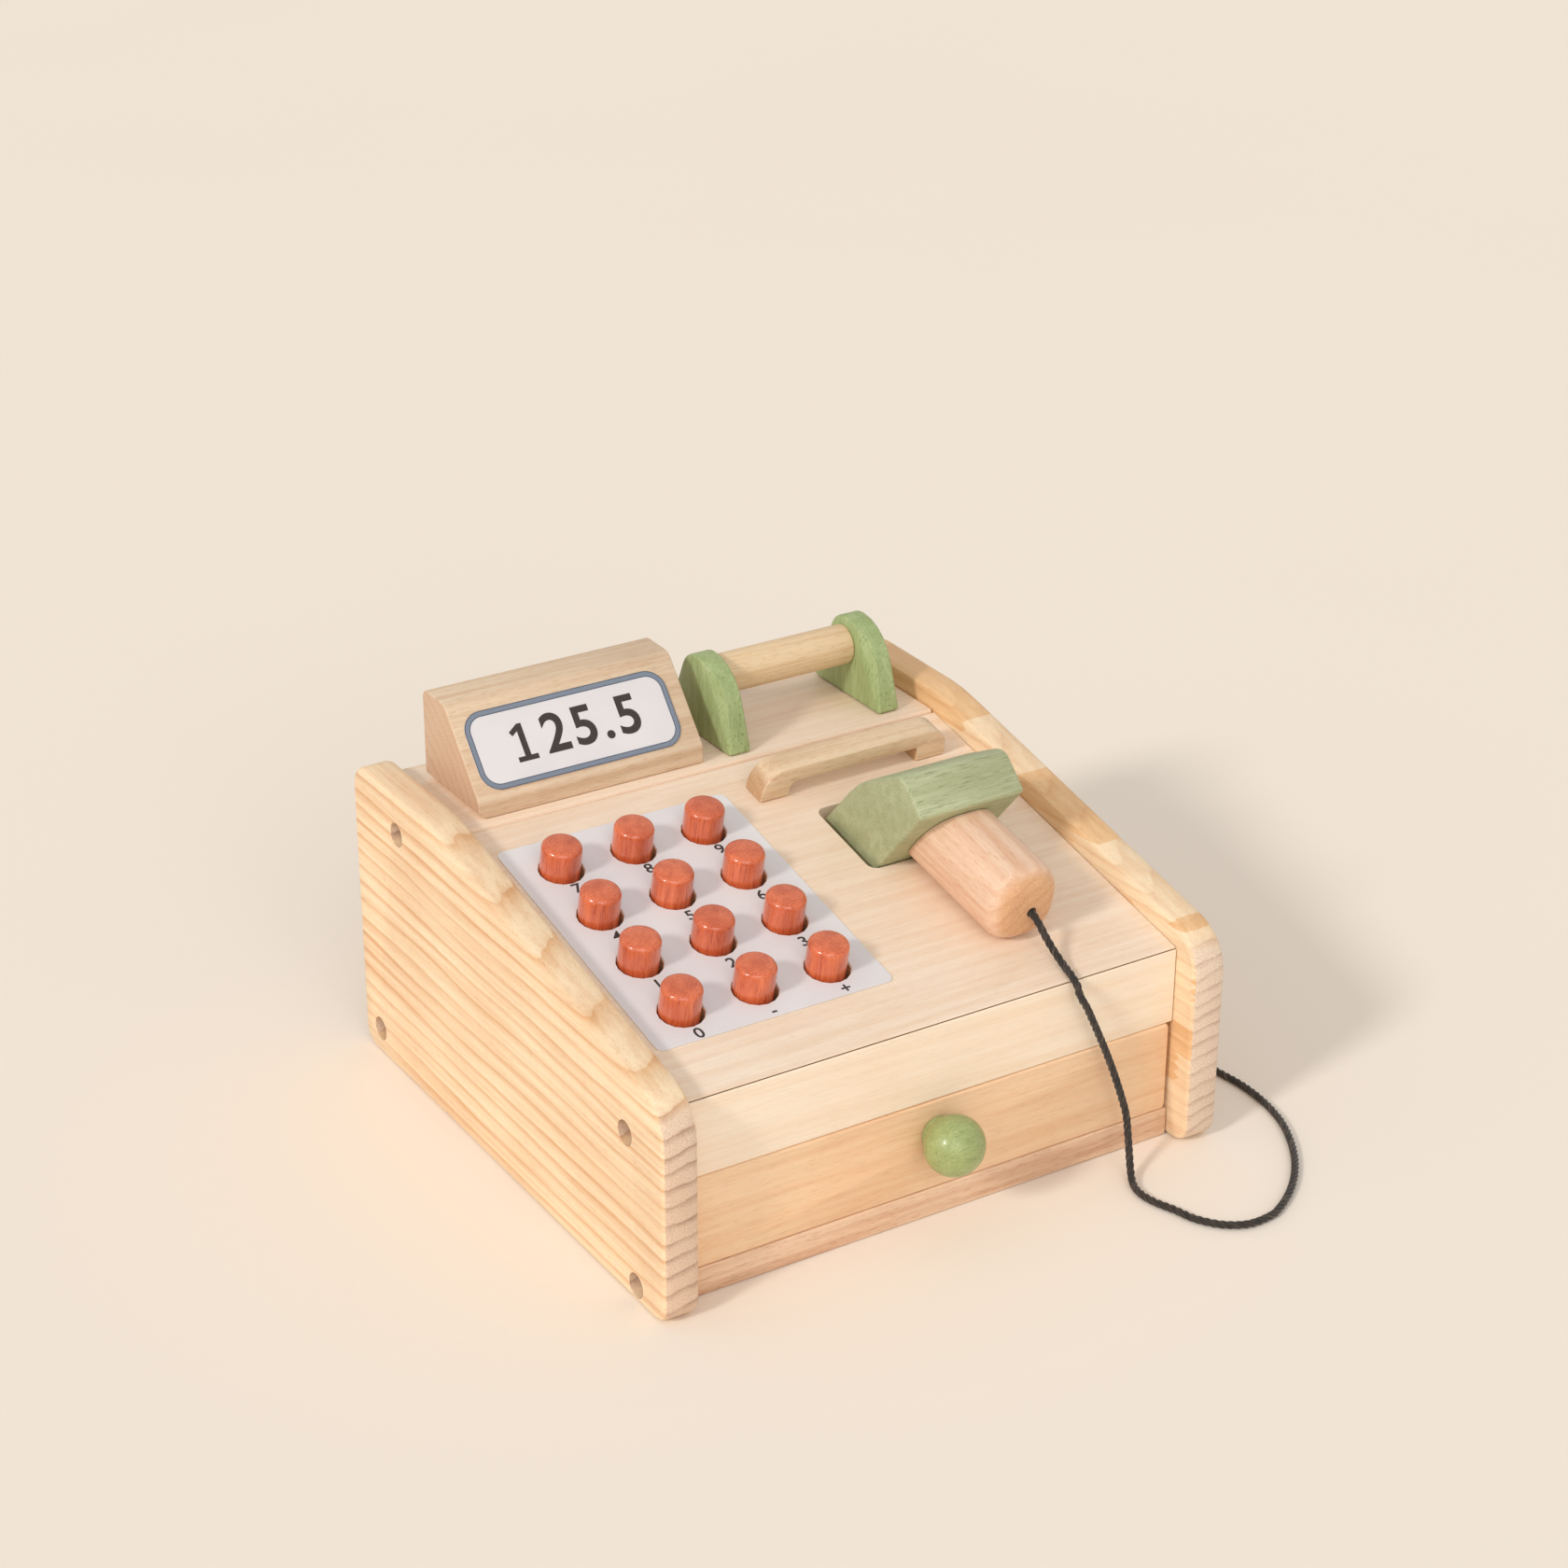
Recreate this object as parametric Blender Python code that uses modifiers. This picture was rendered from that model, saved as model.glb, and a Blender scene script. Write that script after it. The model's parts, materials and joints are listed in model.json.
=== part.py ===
"""A wooden toy cash register: two side panels with boards between them, a drawer, twelve sprung
keys, a display, a turning paper-roll dowel, a card reader and a hand scanner on a cord.

Metres, with +X to the user's right, +Y to the back and +Z up. The register stands on z = 0.
Sizes named X are measured from the left panel's outer face, sizes named Y from the panels' front
edges. On the sloping deck U runs up the slope and H stands off it.
"""

import math

import bmesh
import bpy
from mathutils import Matrix, Vector

# Body
WIDTH = 0.2500
PANEL_DEPTH = 0.2464
PANEL_THICKNESS = 0.0145
PANEL_TOP = 0.1276
PANEL_LIP = 0.0091  # how far the panels stand above the deck
PANEL_BEND_Y = 0.1795  # where the panels' slope meets their flat top
PANEL_EDGE = 0.0022
KNOB_REACH = 0.0107  # how far the knob stands in front of the panels
GAP = 0.0003
LABEL_GAP = 0.0001
FACE_Y = 0.0122  # the drawer's and the rail's front face
BOARD_X = (PANEL_THICKNESS + GAP, WIDTH - PANEL_THICKNESS - GAP)

BASE_TOP = 0.0122
BASE_BACK = 0.2277
BACK_PANEL_Y = (0.2280, 0.2400)
BACK_PANEL_TOP = 0.1043
REAR_DECK_Y = (0.1800, 0.2440)
REAR_DECK_Z = (0.1046, 0.1196)
RAIL_BOTTOM = 0.0512
RAIL_DEPTH = 0.0312

# Sloping deck
SLOPE = math.radians(11.742)
DECK_START = (0.0058, 0.0822)  # Y and Z of a point on the deck's plane, where U = 0
DECK_THICKNESS = 0.0100
DECK_BACK_Y = 0.1797

# Keypad
KEY_COLUMNS = (0.03980, 0.07155, 0.10330)
KEY_ROWS = (0.0508, 0.0815, 0.1121, 0.1428)
KEY_NAMES = (
    ("button_0", "button_minus", "button_plus"),
    ("button_1", "button_2", "button_3"),
    ("button_4", "button_5", "button_6"),
    ("button_7", "button_8", "button_9"),
)
KEY_RADIUS = 0.0080
KEY_TOP = 0.0126
KEY_EDGE = 0.0010
KEY_HOLE_RADIUS = 0.0090
LABEL_HOLE_RADIUS = 0.0093
FLANGE_RADIUS = 0.01075
FLANGE_THICKNESS = 0.0030
BOSS_RADIUS = 0.0043
BOSS_LENGTH = 0.0027
SPRING_RADIUS = 0.0055
SPRING_WIRE = 0.0005
SPRING_TURNS = 3
SPRING_BOARD_TOP = -0.0243
SPRING_BOARD_THICKNESS = 0.0060
SPRING_BOARD_U = (0.0400, 0.1630)
KEYPAD_X = (0.0210, 0.1230)
KEYPAD_U = (0.0343, 0.1618)
KEYPAD_THICKNESS = 0.00035
KEYPAD_CORNER = 0.0030

# Display
DISPLAY_X = (0.0250, 0.1265)
DISPLAY_Y = (0.1846, 0.2305)
DISPLAY_TOP = 0.1589
DISPLAY_FACE_START = (0.1855, 0.1285)
DISPLAY_FACE_LEAN = math.radians(40.8)  # from upright
DISPLAY_CHAMFER = 0.0028
DISPLAY_LABEL_X = (0.0292, 0.1195)
DISPLAY_LABEL_SPAN = (0.0014, 0.0343)
DISPLAY_LABEL_CORNER = 0.0085
DISPLAY_LABEL_THICKNESS = 0.0004

# Paper-roll dowel and its brackets
BRACKET_THICKNESS = 0.0100
BRACKET_X = (0.1430, 0.2170)
BRACKET_Y = (0.1853, 0.2360)
BRACKET_TOP = 0.1544
BRACKET_CROWN = ((0.2204, 0.011), (0.1970, 0.022))  # Y and radius of the two top corners
BRACKET_CHAMFER = (0.1927, 0.1420)  # Y and Z of the middle of the chamfer
BRACKET_CHAMFER_WIDTH = 0.0030
BRACKET_FRONT_LEAN = math.radians(29.5)  # of the front edge at its chamfer, from upright
LEFT_BRACKET_FORWARD = 0.0027  # how far the left bracket is set in front of the right one
DOWEL_AXIS = (0.2130, 0.1423)
DOWEL_RADIUS = 0.0085
DOWEL_PIN_RADIUS = 0.0040
DOWEL_PIN_LENGTH = 0.0055
DOWEL_BORE_RADIUS = 0.0044
DOWEL_BORE_DEPTH = 0.0065

# Card reader
READER_X = (0.1337, 0.2222)
READER_U = (0.1500, 0.1617)
READER_HEIGHT = 0.0136
READER_ROUNDING = (0.0110, 0.0090)  # of its left and its right top corner
READER_SLOT_X = (0.1472, 0.2080)
READER_SLOT_HEIGHT = 0.0068
READER_SLOT_ROUNDING = (0.0042, 0.0012)

# Hand scanner, its axis of lift along H
SCANNER_X = 0.1795
SCANNER_WIDTH = 0.0490
SCANNER_FOOT = -0.0066
SCANNER_FACE = ((0.0745, 0.0379), (-0.493, 0.870))  # top of the front face, and its direction
POCKET_X = (0.1520, 0.2065)
POCKET_U = (0.0955, 0.1380)
POCKET_DEPTH = 0.0070
HANDLE_END = (0.1808, 0.0333, 0.0164)  # X, U and H of the middle of its free end
HANDLE_WIDTH = 0.0308
HANDLE_THICKNESS = 0.0320
HANDLE_LENGTH = 0.0700
HANDLE_RISE = math.radians(0.5)
HANDLE_TURN = math.radians(1.6)  # towards the left, seen from above
HANDLE_SQUARENESS = 2.2
HANDLE_EDGE = 0.0052
CORD_HOLE_RADIUS = 0.0022
CORD_HOLE_DEPTH = 0.0080
CORD_HOLE_OFFSET = (0.0017, -0.0018)  # from the middle of the end, along X and off the slope

# Drawer
DRAWER_FRONT_X = (0.0155, 0.2340)
DRAWER_FRONT_Z = (0.0125, 0.0509)
DRAWER_FRONT_THICKNESS = 0.0120
DRAWER_BOX_X = (0.0165, 0.2330)
DRAWER_BOX_BACK = 0.2140
DRAWER_WALL = 0.0080
DRAWER_WALL_TOP = 0.0460
DRAWER_BOTTOM_Z = (0.0128, 0.0168)
KNOB_CENTRE = (0.1250, 0.0368)
KNOB_RADIUS = 0.0120
KNOB_HALF_DEPTH = 0.0112
KNOB_NECK_RADIUS = 0.0070

# Screws
SCREW_HEAD_RADIUS = 0.0046
SCREW_HEAD_HEIGHT = 0.0026
SCREW_SHANK_RADIUS = 0.0018
SCREW_HOLE_RADIUS = 0.0022
COUNTERBORE_RADIUS = 0.0051
COUNTERBORE_DEPTH = 0.0085
SCREW_SLOT = (0.0051, 0.0011)  # length and width of each arm of the cross in a screw's head
SIDE_SCREW_LENGTH = 0.0340
KNOB_SCREW_LENGTH = 0.0215
SCREW_PLACES = {
    "base": (0.0215, 0.0070),
    "rail": (0.0278, 0.0685),
    "deck": (0.2075, 0.1105),
    "back": (0.2318, 0.0115),
}

# Cord
CORD_RADIUS = 0.00155
CORD_SPACING = 0.0075
CORD_SOCKET_RADIUS = 0.0023
CORD_SOCKET = (0.1100, 0.0300)
CORD_SPLITS = (0.0800, 0.0420)  # height of the first seam, and Y of the second
DECK_ROUTE = (  # X, U and H
    (0.1827, 0.0322, 0.0140),
    (0.1832, 0.0288, 0.0122),
    (0.1842, 0.0252, 0.0087),
    (0.1853, 0.0212, 0.0054),
    (0.1860, 0.0168, 0.0031),
    (0.1861, 0.0122, 0.0020),
    (0.1857, 0.0080, 0.0018),
)
FLOOR_ROUTE = (  # X, Y and Z
    (0.1852, 0.0088, 0.0836),
    (0.1856, 0.0069, 0.0796),
    (0.1884, 0.0062, 0.0740),
    (0.1947, 0.0058, 0.0600),
    (0.1997, 0.0054, 0.0480),
    (0.2042, 0.0044, 0.0350),
    (0.2072, 0.0024, 0.0220),
    (0.2063, -0.0010, 0.0118),
    (0.2038, -0.0060, 0.0044),
    (0.2008, -0.0118, 0.0018),
    (0.1990, -0.0185, 0.0016),
    (0.1998, -0.0262, 0.0016),
    (0.2030, -0.0348, 0.0016),
    (0.2059, -0.0440, 0.0016),
    (0.2122, -0.0525, 0.0016),
    (0.2212, -0.0574, 0.0016),
    (0.2322, -0.0571, 0.0016),
    (0.2442, -0.0510, 0.0016),
    (0.2558, -0.0416, 0.0016),
    (0.2656, -0.0303, 0.0016),
    (0.2736, -0.0174, 0.0016),
    (0.2793, -0.0042, 0.0016),
    (0.2826, 0.0115, 0.0016),
    (0.2829, 0.0262, 0.0016),
    (0.2806, 0.0420, 0.0016),
    (0.2790, 0.0560, 0.0018),
    (0.2780, 0.0700, 0.0034),
    (0.2768, 0.0820, 0.0085),
    (0.2740, 0.0930, 0.0165),
    (0.2690, 0.1025, 0.0245),
    (0.2620, 0.1080, 0.0290),
    (0.2550, 0.1098, 0.0299),
    (0.2440, 0.1100, 0.0300),
)

# Fineness
ROUND_STEPS = 16
SMALL_STEPS = 10
CORNER_STEP = math.radians(16)
CUT_MARGIN = 0.0100  # how far a cutter runs past what it cuts

ALONG_X = Vector((1.0, 0.0, 0.0))
ALONG_Y = Vector((0.0, 1.0, 0.0))
ALONG_Z = Vector((0.0, 0.0, 1.0))
UP_SLOPE = Vector((0.0, math.cos(SLOPE), math.sin(SLOPE)))
OFF_SLOPE = Vector((0.0, -math.sin(SLOPE), math.cos(SLOPE)))
PANEL_FRONT = (KNOB_REACH - PANEL_DEPTH) / 2

# name: colour, roughness, metallic
FINISHES = {
    "pine": ((0.80, 0.56, 0.32), 0.55, 0.0),
    "pale_wood": ((0.87, 0.71, 0.50), 0.60, 0.0),
    "peach_wood": ((0.85, 0.58, 0.33), 0.58, 0.0),
    "beech": ((0.82, 0.62, 0.42), 0.55, 0.0),
    "green_stain": ((0.44, 0.52, 0.30), 0.60, 0.0),
    "orange_lacquer": ((0.83, 0.23, 0.05), 0.28, 0.0),
    "label_film": ((0.86, 0.85, 0.88), 0.45, 0.0),
    "screw_steel": ((0.42, 0.41, 0.40), 0.35, 1.0),
    "spring_steel": ((0.62, 0.63, 0.65), 0.30, 1.0),
    "braid": ((0.035, 0.026, 0.020), 0.85, 0.0),
}


# Places and frames


def at(x, y, z):
    """The world point at X, Y and Z as this file measures them."""
    return Vector((x - WIDTH / 2, y + PANEL_FRONT, z))


def on_slope(x, u, h):
    return at(x, *DECK_START) + UP_SLOPE * u + OFF_SLOPE * h


def section_point(u, h):
    """Y and Z of a point of the slope's own section."""
    y = DECK_START[0] + u * UP_SLOPE.y + h * OFF_SLOPE.y
    z = DECK_START[1] + u * UP_SLOPE.z + h * OFF_SLOPE.z
    return y, z


def slope_u(y):
    """U of the point of the deck's top face that lies at Y."""
    return (y - DECK_START[0]) / math.cos(SLOPE)


def frame(origin, x_axis, y_axis, z_axis):
    """The matrix that puts an object at origin with its own axes along these directions."""
    matrix = Matrix((x_axis, y_axis, z_axis)).transposed().to_4x4()
    matrix.translation = origin
    return matrix


def side_frame(x):
    """Outlines drawn in Y and Z, thickness along X."""
    return frame(at(x, 0, 0), ALONG_Y, ALONG_Z, ALONG_X)


def section_frame(x):
    """Outlines drawn in U and H, thickness along X."""
    return frame(on_slope(x, 0, 0), UP_SLOPE, OFF_SLOPE, ALONG_X)


def slope_frame(x, u, h):
    """Outlines drawn in X and U about a point of the slope, thickness along H."""
    return frame(on_slope(x, u, h), ALONG_X, UP_SLOPE, OFF_SLOPE)


# Makers


def collection(name):
    made = bpy.data.collections.new(name)
    bpy.context.scene.collection.children.link(made)
    return made


def finish(name):
    """The material called name, made on first use."""
    known = bpy.data.materials.get(name)
    if known:
        return known
    colour, roughness, metallic = FINISHES[name]
    made = bpy.data.materials.new(name)
    made.use_nodes = True
    shader = made.node_tree.nodes["Principled BSDF"]
    shader.inputs["Base Color"].default_value = (*colour, 1.0)
    shader.inputs["Roughness"].default_value = roughness
    shader.inputs["Metallic"].default_value = metallic
    return made


def add_part(name, data, matrix, finish_name):
    obj = bpy.data.objects.new(name, data)
    PARTS.objects.link(obj)
    obj.matrix_world = matrix
    obj.data.materials.clear()
    obj.data.materials.append(finish(finish_name))
    return obj


def add_cutter(name, data, matrix):
    obj = bpy.data.objects.new(name, data)
    CUTTERS.objects.link(obj)
    obj.matrix_world = matrix
    obj.hide_render = True
    obj.display_type = "WIRE"
    return obj


def cut(obj, *cutters):
    for cutter in cutters:
        boolean = obj.modifiers.new(cutter.name, "BOOLEAN")
        boolean.operation = "DIFFERENCE"
        boolean.solver = "EXACT"
        boolean.object = cutter


def settled(obj):
    """obj's mesh as its modifiers or its curve make it, welded. The object itself goes."""
    bpy.context.view_layer.update()
    mesh = bpy.data.meshes.new_from_object(obj.evaluated_get(bpy.context.evaluated_depsgraph_get()))
    form = bmesh.new()
    form.from_mesh(mesh)
    bmesh.ops.remove_doubles(form, verts=form.verts, dist=0.000001)
    bmesh.ops.recalc_face_normals(form, faces=form.faces)
    form.to_mesh(mesh)
    form.free()
    mesh.name = obj.name
    bpy.data.objects.remove(obj)
    return mesh


def rounded(corners):
    """Points round an outline whose corners are (a, b, radius)."""
    points = []
    for index, (a, b, radius) in enumerate(corners):
        corner = Vector((a, b))
        before = (Vector(corners[index - 1][:2]) - corner).normalized()
        after = (Vector(corners[(index + 1) % len(corners)][:2]) - corner).normalized()
        opening = before.angle(after)
        if radius == 0:
            points.append(corner)
            continue
        middle = corner + (before + after).normalized() * radius / math.sin(opening / 2)
        spoke = corner + before * radius / math.tan(opening / 2) - middle
        turn = math.copysign(math.pi - opening, after.cross(before))
        steps = max(2, math.ceil(abs(turn) / CORNER_STEP))
        for step in range(steps + 1):
            points.append(middle + Matrix.Rotation(turn * step / steps, 2) @ spoke)
    return points


def rectangle(half_a, half_b, radius):
    corners = ((-half_a, -half_b), (half_a, -half_b), (half_a, half_b), (-half_a, half_b))
    return rounded([(a, b, radius) for a, b in corners])


def circle(a, b, radius, steps=ROUND_STEPS):
    """Points round a circle the other way from an outline, so that it is a hole in one."""
    angles = [-2 * math.pi * step / steps for step in range(steps)]
    return [Vector((a + radius * math.cos(t), b + radius * math.sin(t))) for t in angles]


def outline_curve(name, outlines, thickness, edge=0.0):
    """A flat piece centred on its own XY plane, with edges rounded by edge."""
    curve = bpy.data.curves.new(name, "CURVE")
    curve.dimensions = "2D"
    curve.fill_mode = "BOTH"
    curve.extrude = thickness / 2 - edge
    curve.bevel_depth = edge
    curve.bevel_resolution = 1
    curve.offset = -edge
    for outline in outlines:
        spline = curve.splines.new("POLY")
        spline.points.add(len(outline) - 1)
        for point, place in zip(spline.points, outline):
            point.co = (place.x, place.y, 0.0, 1.0)
        spline.use_cyclic_u = True
    return curve


def outline_mesh(name, outlines, thickness, edge=0.0):
    curve = outline_curve(name, outlines, thickness, edge)
    return settled(add_cutter(name + "_outline", curve, Matrix()))


def box_mesh(name, size):
    mesh = bpy.data.meshes.new(name)
    form = bmesh.new()
    bmesh.ops.create_cube(form, size=1.0)
    bmesh.ops.scale(form, vec=size, verts=form.verts)
    form.to_mesh(mesh)
    form.free()
    return mesh


def add_board(name, low, high, finish_name, edge=0.0):
    """A square board between two corners given in X, Y and Z."""
    middle = [(a + b) / 2 for a, b in zip(low, high)]
    size = [b - a for a, b in zip(low, high)]
    board = add_part(name, box_mesh(name, size), Matrix.Translation(at(*middle)), finish_name)
    if edge:
        bevel = board.modifiers.new("edges", "BEVEL")
        bevel.width = edge
        bevel.segments = 2
    return board


def turned_mesh(name, profile):
    """The edge that turns about Z: (radius, height) from the top of the axis down."""
    mesh = bpy.data.meshes.new(name)
    points = [(radius, 0.0, height) for radius, height in profile]
    mesh.from_pydata(points, [(i, i + 1) for i in range(len(points) - 1)], [])
    return mesh


def turn(obj, steps=ROUND_STEPS):
    screw = obj.modifiers.new("turn", "SCREW")
    screw.axis = "Z"
    screw.steps = steps
    screw.render_steps = steps
    screw.use_merge_vertices = True
    screw.merge_threshold = 0.000001
    screw.use_smooth_shade = True
    return obj


def tube_curve(name, points, radius, resolution):
    curve = bpy.data.curves.new(name, "CURVE")
    curve.dimensions = "3D"
    curve.bevel_depth = radius
    curve.bevel_resolution = resolution
    curve.use_fill_caps = True
    spline = curve.splines.new("POLY")
    spline.points.add(len(points) - 1)
    for point, place in zip(spline.points, points):
        point.co = (*place, 1.0)
    return curve


def group(name, place, members):
    """An empty at place that carries members."""
    empty = bpy.data.objects.new(name, None)
    PARTS.objects.link(empty)
    empty.location = place
    bpy.context.view_layer.update()
    for member in members:
        world = member.matrix_world.copy()
        member.parent = empty
        member.matrix_world = world
    return empty


# Body


def screw_mesh(name, length):
    """A pan-head screw: the underside of its head is at z = 0 and its shank runs down."""
    rim = SCREW_HEAD_HEIGHT / 3
    profile = [
        (0.0, SCREW_HEAD_HEIGHT),
        (SCREW_HEAD_RADIUS * 0.6, SCREW_HEAD_HEIGHT),
        (SCREW_HEAD_RADIUS, rim),
        (SCREW_HEAD_RADIUS, 0.0),
        (SCREW_SHANK_RADIUS, 0.0),
        (SCREW_SHANK_RADIUS, SCREW_SHANK_RADIUS * 2 - length),
        (0.0, -length),
    ]
    screw = turn(add_cutter(name, turned_mesh(name, profile), Matrix()), SMALL_STEPS)
    slots = []
    for index in range(2):
        size = (*SCREW_SLOT, SCREW_HEAD_HEIGHT)
        place = Matrix.Translation((0, 0, SCREW_HEAD_HEIGHT)) @ Matrix.Rotation(
            index * math.pi / 2, 4, "Z"
        )
        slots.append(add_cutter(f"{name}_slot_{index}", box_mesh(f"{name}_slot", size), place))
    cut(screw, *slots)
    mesh = settled(screw)
    for slot in slots:
        bpy.data.objects.remove(slot)
    return mesh


def side_screw_frame(side, place):
    """Z runs out of the panel, from the floor of the counterbore."""
    y, z = place
    if side == "left":
        return frame(at(COUNTERBORE_DEPTH, y, z), ALONG_Y, -ALONG_Z, -ALONG_X)
    return frame(at(WIDTH - COUNTERBORE_DEPTH, y, z), ALONG_Y, ALONG_Z, ALONG_X)


def screw_hole_cutters(side):
    """For each screw of one side, a counterbore and the hole that runs on into its board."""
    top = COUNTERBORE_DEPTH + CUT_MARGIN
    bottom = -SIDE_SCREW_LENGTH - SCREW_HOLE_RADIUS
    profile = [
        (0.0, top),
        (COUNTERBORE_RADIUS, top),
        (COUNTERBORE_RADIUS, 0.0),
        (SCREW_HOLE_RADIUS, 0.0),
        (SCREW_HOLE_RADIUS, bottom),
        (0.0, bottom),
    ]
    mesh = turned_mesh("screw_hole", profile)
    cutters = {}
    for board, place in SCREW_PLACES.items():
        name = f"{side}_{board}_screw_hole"
        cutters[board] = turn(add_cutter(name, mesh, side_screw_frame(side, place)))
    return cutters


def make_side_screws():
    mesh = screw_mesh("side_screw", SIDE_SCREW_LENGTH)
    for side in ("left", "right"):
        for board, place in SCREW_PLACES.items():
            matrix = side_screw_frame(side, place) @ Matrix.Translation((0, 0, GAP))
            add_part(f"{side}_{board}_screw", mesh, matrix, "screw_steel")


def panel_outline():
    def lip_height(y):
        return DECK_START[1] + (y - DECK_START[0]) * math.tan(SLOPE) + PANEL_LIP

    return rounded(
        [
            (0.0, 0.0, 0.009),
            (PANEL_DEPTH, 0.0, 0.008),
            (PANEL_DEPTH, PANEL_TOP, 0.011),
            (PANEL_BEND_Y, lip_height(PANEL_BEND_Y), 0.090),
            (0.0, lip_height(0.0), 0.019),
        ]
    )


def make_side_panels(holes):
    for side, x in (("left", PANEL_THICKNESS / 2), ("right", WIDTH - PANEL_THICKNESS / 2)):
        name = f"{side}_side_panel"
        mesh = outline_mesh(name, [panel_outline()], PANEL_THICKNESS, PANEL_EDGE)
        panel = add_part(name, mesh, side_frame(x), "pine")
        cut(panel, *holes[side].values())
        if side == "right":
            cut(panel, cord_socket_cutter())


def cord_socket_cutter():
    """The hole through the right panel that the cord goes back into."""
    half = PANEL_THICKNESS / 2 + CUT_MARGIN
    radius = CORD_SOCKET_RADIUS
    mesh = turned_mesh("cord_socket", [(0, half), (radius, half), (radius, -half), (0, -half)])
    matrix = side_frame(WIDTH - PANEL_THICKNESS / 2) @ Matrix.Translation((*CORD_SOCKET, 0))
    return turn(add_cutter("cord_socket", mesh, matrix), SMALL_STEPS)


def make_flat_boards(holes):
    x0, x1 = BOARD_X
    base = add_board(
        "base_board", (x0, FACE_Y, 0), (x1, BASE_BACK, BASE_TOP), "peach_wood", 0.0010
    )
    back = add_board(
        "back_panel",
        (x0, BACK_PANEL_Y[0], 0),
        (x1, BACK_PANEL_Y[1], BACK_PANEL_TOP),
        "pale_wood",
        0.0010,
    )
    rear_deck = add_board(
        "rear_deck",
        (x0, REAR_DECK_Y[0], REAR_DECK_Z[0]),
        (x1, REAR_DECK_Y[1], REAR_DECK_Z[1]),
        "pale_wood",
        0.0012,
    )
    for board, key in ((base, "base"), (back, "back"), (rear_deck, "deck")):
        cut(board, holes["left"][key], holes["right"][key])


def mitre_run():
    """How far along the deck its mitre with the rail runs, for the deck's thickness."""
    return DECK_THICKNESS / math.tan((math.pi / 2 + SLOPE) / 2)


def make_front_rail(holes):
    """The board over the drawer, mitred to the deck along the front edge."""
    front_u = slope_u(FACE_Y)
    under = -DECK_THICKNESS - GAP
    back_y = FACE_Y + RAIL_DEPTH
    back_u = (back_y - DECK_START[0] - under * OFF_SLOPE.y) / UP_SLOPE.y
    outline = rounded(
        [
            (FACE_Y, RAIL_BOTTOM, 0.0008),
            (back_y, RAIL_BOTTOM, 0.0008),
            (*section_point(back_u, under), 0),
            (*section_point(front_u + mitre_run(), under), 0),
            (*section_point(front_u, 0.0), 0.0006),
        ]
    )
    width = BOARD_X[1] - BOARD_X[0]
    mesh = outline_mesh("front_rail", [outline], width)
    rail = add_part("front_rail", mesh, side_frame(WIDTH / 2), "pale_wood")
    cut(rail, holes["left"]["rail"], holes["right"]["rail"])


def make_slope_deck():
    front_u = slope_u(FACE_Y) + GAP / math.sin((math.pi / 2 + SLOPE) / 2)
    back_u = slope_u(DECK_BACK_Y)
    outline = rounded(
        [
            (front_u, 0.0, 0.0004),
            (front_u + mitre_run(), -DECK_THICKNESS, 0),
            (back_u - DECK_THICKNESS * math.tan(SLOPE), -DECK_THICKNESS, 0),
            (back_u, 0.0, 0.0008),
        ]
    )
    width = BOARD_X[1] - BOARD_X[0]
    mesh = outline_mesh("slope_deck", [outline], width)
    deck = add_part("slope_deck", mesh, section_frame(WIDTH / 2), "pale_wood")
    half = DECK_THICKNESS + CUT_MARGIN
    radius = KEY_HOLE_RADIUS
    hole = turned_mesh("key_hole", [(0, half), (radius, half), (radius, -half), (0, -half)])
    for names, u in zip(KEY_NAMES, KEY_ROWS):
        for name, x in zip(names, KEY_COLUMNS):
            cut(deck, turn(add_cutter(name + "_hole", hole, slope_frame(x, u, 0))))
    half_x = (POCKET_X[1] - POCKET_X[0]) / 2
    half_u = (POCKET_U[1] - POCKET_U[0]) / 2
    height = POCKET_DEPTH + CUT_MARGIN
    pocket = outline_mesh("scanner_pocket", [rectangle(half_x, half_u, 0.004)], height)
    matrix = slope_frame(POCKET_X[0] + half_x, POCKET_U[0] + half_u, height / 2 - POCKET_DEPTH)
    cut(deck, add_cutter("scanner_pocket", pocket, matrix))


# Keypad


def key_profile():
    """A key: a rounded cap, a stem, a flange that stays under the deck and a boss for its spring."""
    shoulder = KEY_RADIUS - KEY_EDGE
    profile = [(0.0, KEY_TOP)]
    for step in range(4):
        angle = math.pi / 2 * (1 - step / 3)
        radius = shoulder + KEY_EDGE * math.cos(angle)
        profile.append((radius, KEY_TOP - KEY_EDGE + KEY_EDGE * math.sin(angle)))
    flange_top = -DECK_THICKNESS - GAP
    flange_bottom = flange_top - FLANGE_THICKNESS
    profile.append((KEY_RADIUS, flange_top))
    profile.append((FLANGE_RADIUS, flange_top))
    profile.append((FLANGE_RADIUS, flange_bottom))
    profile.append((BOSS_RADIUS, flange_bottom))
    profile.append((BOSS_RADIUS, flange_bottom - BOSS_LENGTH))
    profile.append((0.0, flange_bottom - BOSS_LENGTH))
    return profile


def spring_points():
    """A coil standing on the spring board, with its top just under the key's flange."""
    low = SPRING_BOARD_TOP + GAP + SPRING_WIRE
    high = -DECK_THICKNESS - GAP - FLANGE_THICKNESS - GAP - SPRING_WIRE
    count = SPRING_TURNS * SMALL_STEPS
    points = []
    for index in range(count + 1):
        angle = 2 * math.pi * index / SMALL_STEPS
        height = low + (high - low) * index / count
        points.append((SPRING_RADIUS * math.cos(angle), SPRING_RADIUS * math.sin(angle), height))
    return points


def make_keys():
    key = turned_mesh("key", key_profile())
    spring = tube_curve("key_spring", spring_points(), SPRING_WIRE, 0)
    for names, u in zip(KEY_NAMES, KEY_ROWS):
        for name, x in zip(names, KEY_COLUMNS):
            turn(add_part(name, key, slope_frame(x, u, 0), "orange_lacquer"))
            add_part(name + "_spring", spring, slope_frame(x, u, 0), "spring_steel")


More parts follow.
